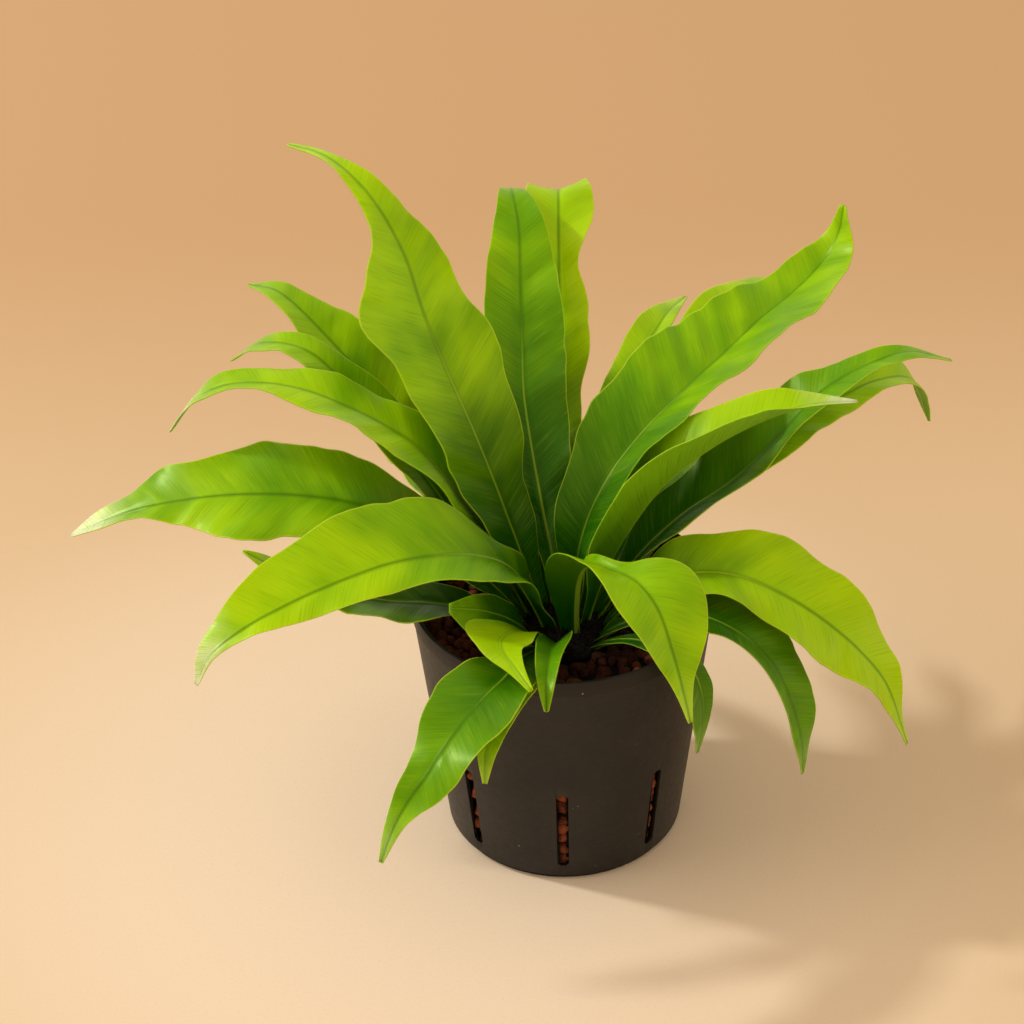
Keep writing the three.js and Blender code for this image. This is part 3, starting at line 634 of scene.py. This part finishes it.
def slot_places(rng):
    """Places and sizes of the pellets that show through the slots"""
    chosen = []
    for k in range(SLOT_COUNT):
        turn = math.radians(SLOT_TURN + k * 360 / SLOT_COUNT)
        z = SLOT_LOW - 1
        while z < SLOT_HIGH + 2:
            size = rng.uniform(SLOT_PELLET_MIN, SLOT_PELLET_MAX)
            shift = rng.uniform(-0.6, 0.6)
            reach = inner_radius(z) - size * 0.8 - rng.uniform(0.0, 0.4)
            chosen.append((reach * math.cos(turn) - shift * math.sin(turn),
                           reach * math.sin(turn) + shift * math.cos(turn), z, size))
            z += size * rng.uniform(1.1, 1.9)
    return chosen


def clay_core():
    """Rough body that the pellets lie in, with a recess for the crown"""
    bottom = FLOOR_THICK + CORE_FLOOR_GAP
    top = SOIL_Z - CORE_TOP_DROP
    recess = SOIL_Z - CROWN_DEPTH - CROWN_CLEAR
    heights = np.linspace(bottom, top, 30)
    profile = [[0, bottom]] + [[inner_radius(z) - CORE_GAP, z] for z in heights]
    profile += [[r, top] for r in np.linspace(inner_radius(top) - 5, CROWN_RADIUS + 2, 20)]
    profile += [[CROWN_RADIUS + 1, recess], [0, recess]]
    points, faces = turned(profile, 120)
    points = np.array(points)
    angle = np.arctan2(points[:, 1], points[:, 0])
    lump = 0.5 * np.sin(angle * 37 + points[:, 2] * 1.1) + 0.5 * np.sin(angle * 23 - points[:, 2] * 1.7 + 2)
    points[:, :2] *= 1 + CORE_LUMP * lump[:, None]
    inside = np.hypot(points[:, 0], points[:, 1]) < CROWN_RADIUS + 3
    points[inside, 1] += CROWN_Y
    return points, faces


def make_clay(material):
    """The core and all the pellets as one piece, with a tone for each pellet"""
    rng = np.random.default_rng(CLAY_SEED)
    round_points, round_faces = ball()
    core_points, core_faces = clay_core()
    points = [core_points]
    faces = [core_faces]
    # The core gets tone 0, which its material paints near black as shade between the pellets
    tones = [np.zeros(len(core_points))]
    start = len(core_points)
    coarse = len(round_points)
    for x, y, z, size in bed_places(rng) + slot_places(rng):
        points.append(lumpy(round_points, rng) * size + np.array([x, y, z]))
        faces.append((round_faces + start).tolist())
        tones.append(np.full(coarse, rng.uniform(0.15, 1)))
        start += coarse
    clay = add_mesh("clay_pellets", np.concatenate(points), sum(faces, []), material)
    tone = np.concatenate(tones)
    add_vectors(clay, "pellet", np.stack([tone, tone, tone], axis=1))
    finish_piece(clay, "clay_granules")


# Crown

CROWN_SCALES = 520
CROWN_TOP = 6.0
CROWN_SINK = 1.5
CROWN_ROUGH = 0.5
CROWN_SEED = 5


def crown_height(radius):
    """Height of the crown's dome over the granules at a distance from its axis"""
    share = np.clip(radius / CROWN_RADIUS, 0, 1)
    return SOIL_Z - CROWN_SINK + CROWN_TOP * (1 - share**2)


def crown_dome():
    """Points and faces of the low rough dome that the fronds stand in"""
    rings = np.linspace(CROWN_RADIUS, 1.5, 22)
    profile = [[0, SOIL_Z - CROWN_DEPTH], [CROWN_RADIUS, SOIL_Z - CROWN_DEPTH]]
    profile += [[r, crown_height(r)] for r in rings] + [[0, crown_height(0)]]
    points, faces = turned(profile, 96)
    points = np.array(points)
    angle = np.arctan2(points[:, 1], points[:, 0])
    radius = np.hypot(points[:, 0], points[:, 1])
    rough = np.sin(angle * 19 + radius) * np.sin(radius * 1.3 + 1)
    points[:, 2] += CROWN_ROUGH * rough * (points[:, 2] > SOIL_Z - 3)
    return points, faces


def scale_strip(rng):
    """One narrow papery scale of the crown, in its own place"""
    radius = CROWN_RADIUS * math.sqrt(rng.uniform(0, 0.96))
    angle = rng.uniform(0, 2 * math.pi)
    foot = np.array([radius * math.cos(angle), radius * math.sin(angle), crown_height(radius) - 0.6])
    lean = rng.uniform(0.3, 1.3)
    away = angle + rng.uniform(-0.9, 0.9)
    ahead = np.array([math.cos(away) * math.sin(lean), math.sin(away) * math.sin(lean), math.cos(lean)])
    side = unit(np.cross(ahead, rng.normal(size=3)))
    out = np.cross(side, ahead)
    length = rng.uniform(2.2, 5.0)
    width = rng.uniform(0.25, 0.6)
    rows = []
    for share, wide in ((0, 1.0), (0.45, 0.8), (0.8, 0.4)):
        middle = foot + ahead * length * share + out * length * 0.25 * share**2
        rows += [middle - side * width * wide, middle + side * width * wide, middle + out * 0.12]
    rows.append(foot + ahead * length + out * length * 0.3)
    faces = [[2, 1, 0]]
    for low in (0, 3):
        for j in range(3):
            after = (j + 1) % 3
            faces.append([low + j, low + after, low + 3 + after, low + 3 + j])
    faces += [[6, 7, 9], [7, 8, 9], [8, 6, 9]]
    return np.array(rows), faces


def make_crown(material):
    """The dome and its scales as one piece"""
    rng = np.random.default_rng(CROWN_SEED)
    points, faces = crown_dome()
    points = [points]
    start = len(points[0])
    for _ in range(CROWN_SCALES):
        rows, strips = scale_strip(rng)
        points.append(rows)
        faces.extend([[start + j for j in f] for f in strips])
        start += len(rows)
    placed = np.concatenate(points) + np.array([CROWN_X, CROWN_Y, 0])
    crown = add_mesh("scaly_crown", placed, faces, material)
    finish_piece(crown, "crown")


# Materials

def tint(red, green, blue):
    """Colour from 0 to 255 values as they look on a screen"""
    values = []
    for value in (red, green, blue):
        share = value / 255
        values.append(share / 12.92 if share <= 0.04045 else ((share + 0.055) / 1.055) ** 2.4)
    return (*values, 1.0)


class Shade:
    """A material and short calls that wire its nodes"""

    def __init__(self, name):
        self.material = bpy.data.materials.new(name)
        self.material.use_nodes = True
        self.tree = self.material.node_tree
        self.skin = self.tree.nodes["Principled BSDF"]

    def plug(self, socket, value):
        """Links a socket, or sets a plain value"""
        if isinstance(value, bpy.types.NodeSocket):
            self.tree.links.new(value, socket)
        else:
            socket.default_value = value

    def add(self, kind, inputs, **settings):
        """A new node with its inputs linked or set"""
        node = self.tree.nodes.new(kind)
        for key, value in settings.items():
            setattr(node, key, value)
        for key, value in inputs.items():
            self.plug(node.inputs[key], value)
        return node

    def calc(self, operation, a, b=0.0, c=0.0):
        """One sum on up to three values"""
        return self.add("ShaderNodeMath", {0: a, 1: b, 2: c}, operation=operation).outputs[0]

    def share(self, value, low, high):
        """0 up to low, 1 from high on and a smooth rise between them"""
        inputs = {"Value": value, "From Min": low, "From Max": high}
        return self.add("ShaderNodeMapRange", inputs, interpolation_type="SMOOTHSTEP").outputs[0]

    def mix(self, share, a, b):
        """Colour from a at share 0 to b at share 1"""
        return self.add("ShaderNodeMix", {0: share, 6: a, 7: b}, data_type="RGBA").outputs[2]

    def joined(self, x, y, z):
        """Three values as one vector"""
        return self.add("ShaderNodeCombineXYZ", {0: x, 1: y, 2: z}).outputs[0]

    def split(self, name):
        """The three numbers of a named mesh attribute"""
        value = self.add("ShaderNodeAttribute", {}, attribute_name=name).outputs["Vector"]
        return self.add("ShaderNodeSeparateXYZ", {0: value}).outputs

    def noise(self, vector, scale, detail, roughness):
        """Soft random pattern, about 0 to 1"""
        inputs = {"Vector": vector, "Scale": scale, "Detail": detail, "Roughness": roughness}
        return self.add("ShaderNodeTexNoise", inputs).outputs["Fac"]

    def bump(self, height, distance, under=None):
        """A bump of a height in mm, on top of another one if given"""
        inputs = {"Height": height, "Distance": distance * MM, "Strength": 1.0}
        if under is not None:
            inputs["Normal"] = under
        return self.add("ShaderNodeBump", inputs).outputs[0]

    def place(self):
        """Place on the object in millimetres"""
        spot = self.add("ShaderNodeNewGeometry", {}).outputs["Position"]
        return self.add("ShaderNodeVectorMath", {0: spot, "Scale": 1 / MM}, operation="SCALE").outputs[0]

    def gap(self, spot, place):
        """Distance of a spot from a place, in millimetres"""
        inputs = {0: spot, 1: place}
        return self.add("ShaderNodeVectorMath", inputs, operation="DISTANCE").outputs["Value"]

    def skin_values(self, **values):
        """Links or sets the main inputs of the surface"""
        names = {"color": "Base Color", "rough": "Roughness", "normal": "Normal",
                 "specular": "Specular IOR Level", "gloss_tint": "Specular Tint",
                 "soft": "Subsurface Weight", "soft_scale": "Subsurface Scale",
                 "soft_reach": "Subsurface Radius"}
        for key, value in values.items():
            self.plug(self.skin.inputs[names[key]], value)


LIME = tint(170, 212, 0)
MID_GREEN = tint(94, 152, 0)
# Deep green serves the dark veins and the dark base, which is partly painted shade
DEEP_GREEN = tint(12, 80, 0)
UNDER_GREEN = tint(112, 158, 6)
RIB_DARK = tint(62, 108, 4)
RIB_PALE = tint(165, 190, 45)
MARGIN_PALE = tint(186, 206, 60)
# Painted highlight: the whitish sheen streaked into the tips
TIP_PAINTED_SHEEN = tint(216, 228, 186)
GLOSS_LIME = (0.85, 1.0, 0.3, 1.0)
STALK_BROWN = tint(34, 28, 12)
VEIN_SCALE = 2.0
VEIN_DRIFT = 0.035
BAND_SCALE = 0.08
BAND_DRIFT = 0.3
BLOTCH_SCALE = 0.028
VEIN_DARK = 0.22
VEIN_LIGHT = 0.1
VEIN_RELIEF = 0.045
BAND_RELIEF = 0.5
RIB_LINE_BASE = 0.75
RIB_LINE_TIP = 0.3
MARGIN_SHARE = 0.5
LEAF_ROUGH = 0.27
UNDER_ROUGH = 0.16
LEAF_SOFT = 0.8
LEAF_SOFT_SCALE = 0.0025
LEAF_SOFT_REACH = (1.0, 1.0, 0.3)


def leaf_noises(shade, s, across, distance, seed):
    """Fine lines along the side veins, broad bands along them (for relief, and painted ripple shade in the
    colour), and blotches
    """
    q = shade.calc("SUBTRACT", s, shade.calc("MULTIPLY", distance, VEIN_SLANT))
    side = shade.calc("MULTIPLY", shade.calc("SIGN", across), 40.0)
    vein_spot = shade.joined(q, shade.calc("MULTIPLY", distance, VEIN_DRIFT), side)
    band_spot = shade.joined(q, shade.calc("MULTIPLY", distance, BAND_DRIFT), seed)
    blotch_spot = shade.joined(s, across, shade.calc("MULTIPLY", seed, 9.0))
    veins = shade.noise(vein_spot, VEIN_SCALE, 1.5, 0.5)
    bands = shade.noise(band_spot, BAND_SCALE, 2.5, 0.5)
    blotch = shade.noise(blotch_spot, BLOTCH_SCALE, 2.0, 0.5)
    return veins, bands, blotch


def upper_green(shade, s, u, tone, deep, noises):
    """Mid green to lime by tone, deep green toward the base partly as painted shade near the crown, with
    streaks along the veins and painted ripple shade
    """
    veins, bands, blotch = noises
    # The broad bands lighten and darken the green as painted shade of the ripples
    light = shade.calc("ADD", tone, shade.calc("MULTIPLY_ADD", bands, 0.7, -0.35))
    light = shade.calc("ADD", light, shade.calc("MULTIPLY_ADD", blotch, 0.9, -0.45))
    light = shade.calc("ADD", light, shade.calc("MULTIPLY_ADD", u, 0.7, -0.4))
    color = shade.mix(shade.share(light, 0.0, 1.0), MID_GREEN, LIME)
    # Deep green toward the base: partly the blade's own colour, partly painted shade near the crown
    fall = shade.calc("DIVIDE", s, deep)
    fall = shade.calc("ADD", fall, shade.calc("MULTIPLY_ADD", bands, 0.5, -0.25))
    color = shade.mix(shade.share(fall, 0.35, 1.5), DEEP_GREEN, color)
    streak = shade.calc("MULTIPLY", shade.share(veins, 0.5, 0.75), VEIN_DARK)
    color = shade.mix(streak, color, DEEP_GREEN)
    bright = shade.calc("MULTIPLY", shade.share(veins, 0.5, 0.3), VEIN_LIGHT)
    return shade.mix(bright, color, MARGIN_PALE)


def with_midrib(shade, color, s, distance, rib, rib_half, rib_dark):
    """A colour with the midrib, brown at its base and darker along it, and a thin line beside it"""
    turning = shade.calc("MULTIPLY_ADD", rib_dark, -120.0, 120.0)
    rib_far = shade.share(s, turning, shade.calc("ADD", turning, 50.0))
    rib_color = shade.mix(rib_far, RIB_PALE, RIB_DARK)
    rib_color = shade.mix(shade.share(s, 6.0, 22.0), STALK_BROWN, rib_color)
    strength = shade.calc("MULTIPLY_ADD", rib_dark, 0.35, 0.45)
    color = shade.mix(shade.calc("MULTIPLY", rib, strength), color, rib_color)
    flank = shade.calc("SUBTRACT", distance, shade.calc("MULTIPLY", rib_half, 1.25))
    flank = shade.share(shade.calc("ABSOLUTE", flank), 0.5, 0.1)
    return shade.mix(shade.calc("MULTIPLY", flank, 0.3), color, RIB_DARK)


def with_edge_and_painted_tip_sheen(shade, color, part, u, pale, noises):
    """A colour with the pale margin and the painted highlight streaks at the tip"""
    veins, bands, _ = noises
    edge = shade.calc("MULTIPLY", shade.share(part, 0.972, 0.99), MARGIN_SHARE)
    color = shade.mix(edge, color, MARGIN_PALE)
    # Painted highlight: whitish streaks at the tip, scaled by the frond's tip value
    tip = shade.calc("MULTIPLY", shade.share(u, 0.84, 0.99), pale)
    tip = shade.calc("MULTIPLY", tip, shade.share(shade.calc("ADD", veins, bands), 0.75, 1.05))
    return shade.mix(tip, color, TIP_PAINTED_SHEEN)


def lower_green(shade, s, rib, veins):
    """Duller green of the underside, darker toward the base partly as painted shade, with its pale midrib
    """
    # Darker toward the base: partly the blade's own colour, partly painted shade
    color = shade.mix(shade.share(s, 15.0, 90.0), DEEP_GREEN, UNDER_GREEN)
    color = shade.mix(shade.calc("MULTIPLY", shade.share(veins, 0.5, 0.7), 0.4), color, DEEP_GREEN)
    return shade.mix(shade.calc("MULTIPLY", rib, 0.6), color, RIB_PALE)


def leaf_material():
    """Green blade: dark toward the base (partly painted shade), fine side veins, midrib, pale margin and a
    painted highlight at the tip
    """
    shade = Shade("fern_blade")
    s, across, u = shade.split("blade_place")
    part, upper, tone = shade.split("blade_zone")
    # pale is the strength of the painted highlight at the tip
    deep, pale, seed = shade.split("blade_marks")
    rib_dark = shade.split("blade_rib")[0]
    distance = shade.calc("ABSOLUTE", across)
    noises = leaf_noises(shade, s, across, distance, seed)
    veins, bands, blotch = noises
    rib_half = shade.calc("MULTIPLY_ADD", shade.calc("SUBTRACT", 1.0, u), RIB_LINE_BASE, RIB_LINE_TIP)
    rib = shade.share(distance, rib_half, shade.calc("MULTIPLY", rib_half, 0.4))

    color = upper_green(shade, s, u, tone, deep, noises)
    color = with_midrib(shade, color, s, distance, rib, rib_half, rib_dark)
    color = with_edge_and_painted_tip_sheen(shade, color, part, u, pale, noises)
    color = shade.mix(upper, lower_green(shade, s, rib, veins), color)
    color = shade.mix(shade.share(s, 9.0, 3.0), color, STALK_BROWN)

    relief = shade.bump(veins, VEIN_RELIEF)
    relief = shade.bump(bands, BAND_RELIEF, under=relief)
    rough = shade.calc("MULTIPLY_ADD", blotch, 0.14, LEAF_ROUGH)
    under = shade.calc("MULTIPLY", shade.calc("SUBTRACT", 1.0, upper), UNDER_ROUGH)
    rough = shade.calc("ADD", rough, under)
    shade.skin_values(color=color, rough=rough, normal=relief, specular=0.3, gloss_tint=GLOSS_LIME,
                      soft=LEAF_SOFT, soft_scale=LEAF_SOFT_SCALE, soft_reach=LEAF_SOFT_REACH)
    return shade.material


POT_BLACK = tint(17, 14, 13)
POT_DUSTY = tint(28, 23, 19)
POT_DEEP = tint(11, 10, 10)
DUST_WHITE = tint(170, 165, 155)
SPECK_SCALE = 0.11
SPECK_SIZE = 0.045


def pot_material():
    """Black plastic with dust, scuffs and a few pale specks"""
    shade = Shade("black_plastic")
    spot = shade.place()
    cloud = shade.noise(spot, 0.035, 3.0, 0.6)
    grain = shade.noise(spot, 1.6, 3.0, 0.7)
    scuff = shade.noise(spot, 0.3, 4.0, 0.7)
    color = shade.mix(shade.share(cloud, 0.35, 0.7), POT_BLACK, POT_DUSTY)
    color = shade.mix(shade.calc("MULTIPLY", shade.share(scuff, 0.5, 0.8), 0.35), color, POT_DUSTY)
    color = shade.mix(shade.calc("MULTIPLY", shade.share(grain, 0.45, 0.75), 0.3), color, POT_DEEP)
    specks = shade.add("ShaderNodeTexVoronoi", {"Vector": spot, "Scale": SPECK_SCALE}, feature="F1")
    size = shade.add("ShaderNodeSeparateXYZ", {0: specks.outputs["Color"]}).outputs[0]
    reach = shade.calc("MULTIPLY", size, SPECK_SIZE)
    speck = shade.calc("LESS_THAN", specks.outputs["Distance"], reach)
    color = shade.mix(shade.calc("MULTIPLY", speck, 0.8), color, DUST_WHITE)
    relief = shade.bump(grain, 0.1)
    relief = shade.bump(scuff, 0.12, under=relief)
    rough = shade.calc("MULTIPLY_ADD", scuff, 0.25, 0.38)
    shade.skin_values(color=color, rough=rough, normal=relief, specular=0.35)
    return shade.material


CLAY_RED = tint(150, 76, 42)
CLAY_BROWN = tint(84, 42, 24)
CLAY_DARK = tint(24, 12, 8)
CLAY_LIGHT = tint(176, 112, 74)
# Painted shade on the granules round the crown, from this distance in mm in to the next
SHADED_FROM = 50.0
SHADED_TO = 28.0


def clay_material():
    """Fired clay with grain, with painted shade round the crown of the plant and on the core"""
    shade = Shade("clay_pellet")
    spot = shade.place()
    tone = shade.split("pellet")[0]
    grain = shade.noise(spot, 1.3, 4.0, 0.7)
    cloud = shade.noise(spot, 0.35, 3.0, 0.6)
    color = shade.mix(shade.share(shade.calc("ADD", tone, cloud), 0.5, 1.5), CLAY_BROWN, CLAY_RED)
    color = shade.mix(shade.calc("MULTIPLY", shade.share(grain, 0.55, 0.75), 0.6), color, CLAY_LIGHT)
    color = shade.mix(shade.share(grain, 0.45, 0.3), color, CLAY_DARK)
    # Painted shade: tone 0 marks the core, painted near black as the shade in the gaps between the pellets
    color = shade.mix(shade.share(tone, 0.1, 0.02), color, CLAY_DARK)
    # Painted shade: granules darken toward the crown
    shaded = shade.share(shade.gap(spot, (CROWN_X, CROWN_Y, SOIL_Z)), SHADED_FROM, SHADED_TO)
    shaded = shade.calc("MULTIPLY", shaded, 0.75)
    color = shade.mix(shaded, color, CLAY_DARK)
    relief = shade.bump(grain, 0.8)
    rough = shade.calc("MULTIPLY_ADD", grain, 0.2, 0.75)
    shade.skin_values(color=color, rough=rough, normal=relief, specular=0.2)
    return shade.material


CROWN_DARK = tint(16, 12, 7)
CROWN_BROWN = tint(54, 38, 20)


def crown_material():
    """Dark papery scales"""
    shade = Shade("crown_scales")
    spot = shade.place()
    fibre = shade.noise(spot, 0.9, 4.0, 0.7)
    color = shade.mix(shade.share(fibre, 0.45, 0.75), CROWN_DARK, CROWN_BROWN)
    relief = shade.bump(fibre, 0.5)
    rough = shade.calc("MULTIPLY_ADD", fibre, 0.2, 0.7)
    shade.skin_values(color=color, rough=rough, normal=relief, specular=0.2)
    return shade.material


# Paper colours, with a painted patch of light and painted shade
PAPER_PAINTED_LIGHT = tint(252, 225, 192)
PAPER = tint(230, 198, 156)
PAPER_PAINTED_SHADE = tint(207, 166, 120)
PAPER_FLECK = tint(216, 178, 136)
LIGHT_POOL_PLACE = (-60, -20, 0)
LIGHT_POOL_CORE = 60.0
LIGHT_POOL_EDGE = 340.0
SHADE_START = 60.0
SHADE_END = 560.0


def floor_material():
    """Matte paper, with a painted patch of light round the pot and painted shade toward the back"""
    shade = Shade("paper_floor")
    spot = shade.place()
    fleck = shade.noise(spot, 0.8, 3.0, 0.6)
    back = shade.add("ShaderNodeSeparateXYZ", {0: spot}).outputs[1]
    # Painted shade: the paper darkens toward the back
    color = shade.mix(shade.share(back, SHADE_START, SHADE_END), PAPER, PAPER_PAINTED_SHADE)
    # Painted light: brighter paper round the pot
    pool = shade.gap(spot, LIGHT_POOL_PLACE)
    color = shade.mix(shade.share(pool, LIGHT_POOL_EDGE, LIGHT_POOL_CORE), color, PAPER_PAINTED_LIGHT)
    color = shade.mix(shade.calc("MULTIPLY", shade.share(fleck, 0.5, 0.8), 0.2), color, PAPER_FLECK)
    relief = shade.bump(fleck, 0.05)
    rough = shade.calc("MULTIPLY_ADD", fleck, 0.1, 0.85)
    shade.skin_values(color=color, rough=rough, normal=relief, specular=0.1)
    return shade.material


# Floor, lights and camera

FLOOR_HALF = 4000.0
FLOOR_STEPS = 8
LIT_PLACE = (0, 0, 0.12)
GLOW_COLOR = (1.0, 0.87, 0.73, 1)
GLOW_STRENGTH = 0.7


def make_floor():
    """A wide flat floor in a few large squares"""
    line = np.linspace(-FLOOR_HALF, FLOOR_HALF, FLOOR_STEPS + 1)
    across, along = np.meshgrid(line, line, indexing="ij")
    points = np.stack([across, along, np.zeros_like(across)], axis=-1).reshape(-1, 3)
    index = np.arange(len(points)).reshape(across.shape)
    corners = [index[:-1, :-1], index[1:, :-1], index[1:, 1:], index[:-1, 1:]]
    faces = np.stack(corners, axis=-1).reshape(-1, 4)
    floor = add_mesh("studio_floor", points, faces, floor_material())


def add_light(name, place, size, power, color):
    """Square area light at a place in metres that faces the plant"""
    light = bpy.data.lights.new(name, "AREA")
    light.shape = "SQUARE"
    light.size = size
    light.energy = power
    light.color = color
    holder = bpy.data.objects.new(name, light)
    holder.location = place
    holder.rotation_euler = (Vector(LIT_PLACE) - Vector(place)).to_track_quat("-Z", "Y").to_euler()
    bpy.context.scene.collection.objects.link(holder)


def make_lights():
    """A small key light from the left, a soft one beside it, a weak card and an even glow"""
    add_light("key", (-3.6, 0.9, 3.2), 0.32, 100, (0.9, 0.95, 1.0))
    add_light("left_softbox", (-3.2, -0.4, 3.0), 2.6, 34, (0.95, 0.97, 1.0))
    add_light("right_card", (1.7, -0.25, 0.35), 1.1, 2, (1.0, 0.98, 0.95))
    world = bpy.data.worlds.new("studio")
    world.use_nodes = True
    glow = world.node_tree.nodes["Background"]
    glow.inputs["Color"].default_value = GLOW_COLOR
    glow.inputs["Strength"].default_value = GLOW_STRENGTH
    bpy.context.scene.world = world


CAMERA_TARGET = Vector((0, 0, 0.12))
CAMERA_DISTANCE = 1.3
CAMERA_ELEVATION = 36.8
CAMERA_YAW = -0.938
CAMERA_PITCH = 1.472
CAMERA_ROLL = -1.281
CAMERA_LENS = 106.49
CAMERA_SENSOR = 36


def make_camera():
    """The camera of the photo: aimed at the target, then turned by yaw, pitch and roll"""
    rise = math.radians(CAMERA_ELEVATION)
    place = CAMERA_TARGET + CAMERA_DISTANCE * Vector((0, -math.cos(rise), math.sin(rise)))
    ahead = (CAMERA_TARGET - place).normalized()
    right = ahead.cross(Vector((0, 0, 1))).normalized()
    up = right.cross(ahead)
    ahead = ahead + math.tan(math.radians(CAMERA_YAW)) * right
    ahead = ahead + math.tan(math.radians(CAMERA_PITCH)) * up
    ahead.normalize()
    right = ahead.cross(Vector((0, 0, 1))).normalized()
    up = right.cross(ahead)
    roll = math.radians(CAMERA_ROLL)
    level = math.cos(roll) * right + math.sin(roll) * up
    upright = math.cos(roll) * up - math.sin(roll) * right
    lens = bpy.data.cameras.new("camera")
    lens.lens = CAMERA_LENS
    lens.sensor_width = CAMERA_SENSOR
    camera = bpy.data.objects.new("camera", lens)
    turn = Matrix((level, upright, -ahead)).transposed().to_4x4()
    camera.matrix_world = Matrix.Translation(place) @ turn
    bpy.context.scene.collection.objects.link(camera)
    bpy.context.scene.camera = camera


def main():
    blade = leaf_material()
    for seed, row in enumerate(FRONDS):
        make_frond(row, blade, seed + 1)
    make_pot(pot_material())
    make_clay(clay_material())
    make_crown(crown_material())
    make_floor()
    make_lights()
    make_camera()
    bpy.context.scene.view_settings.view_transform = "Standard"


main()
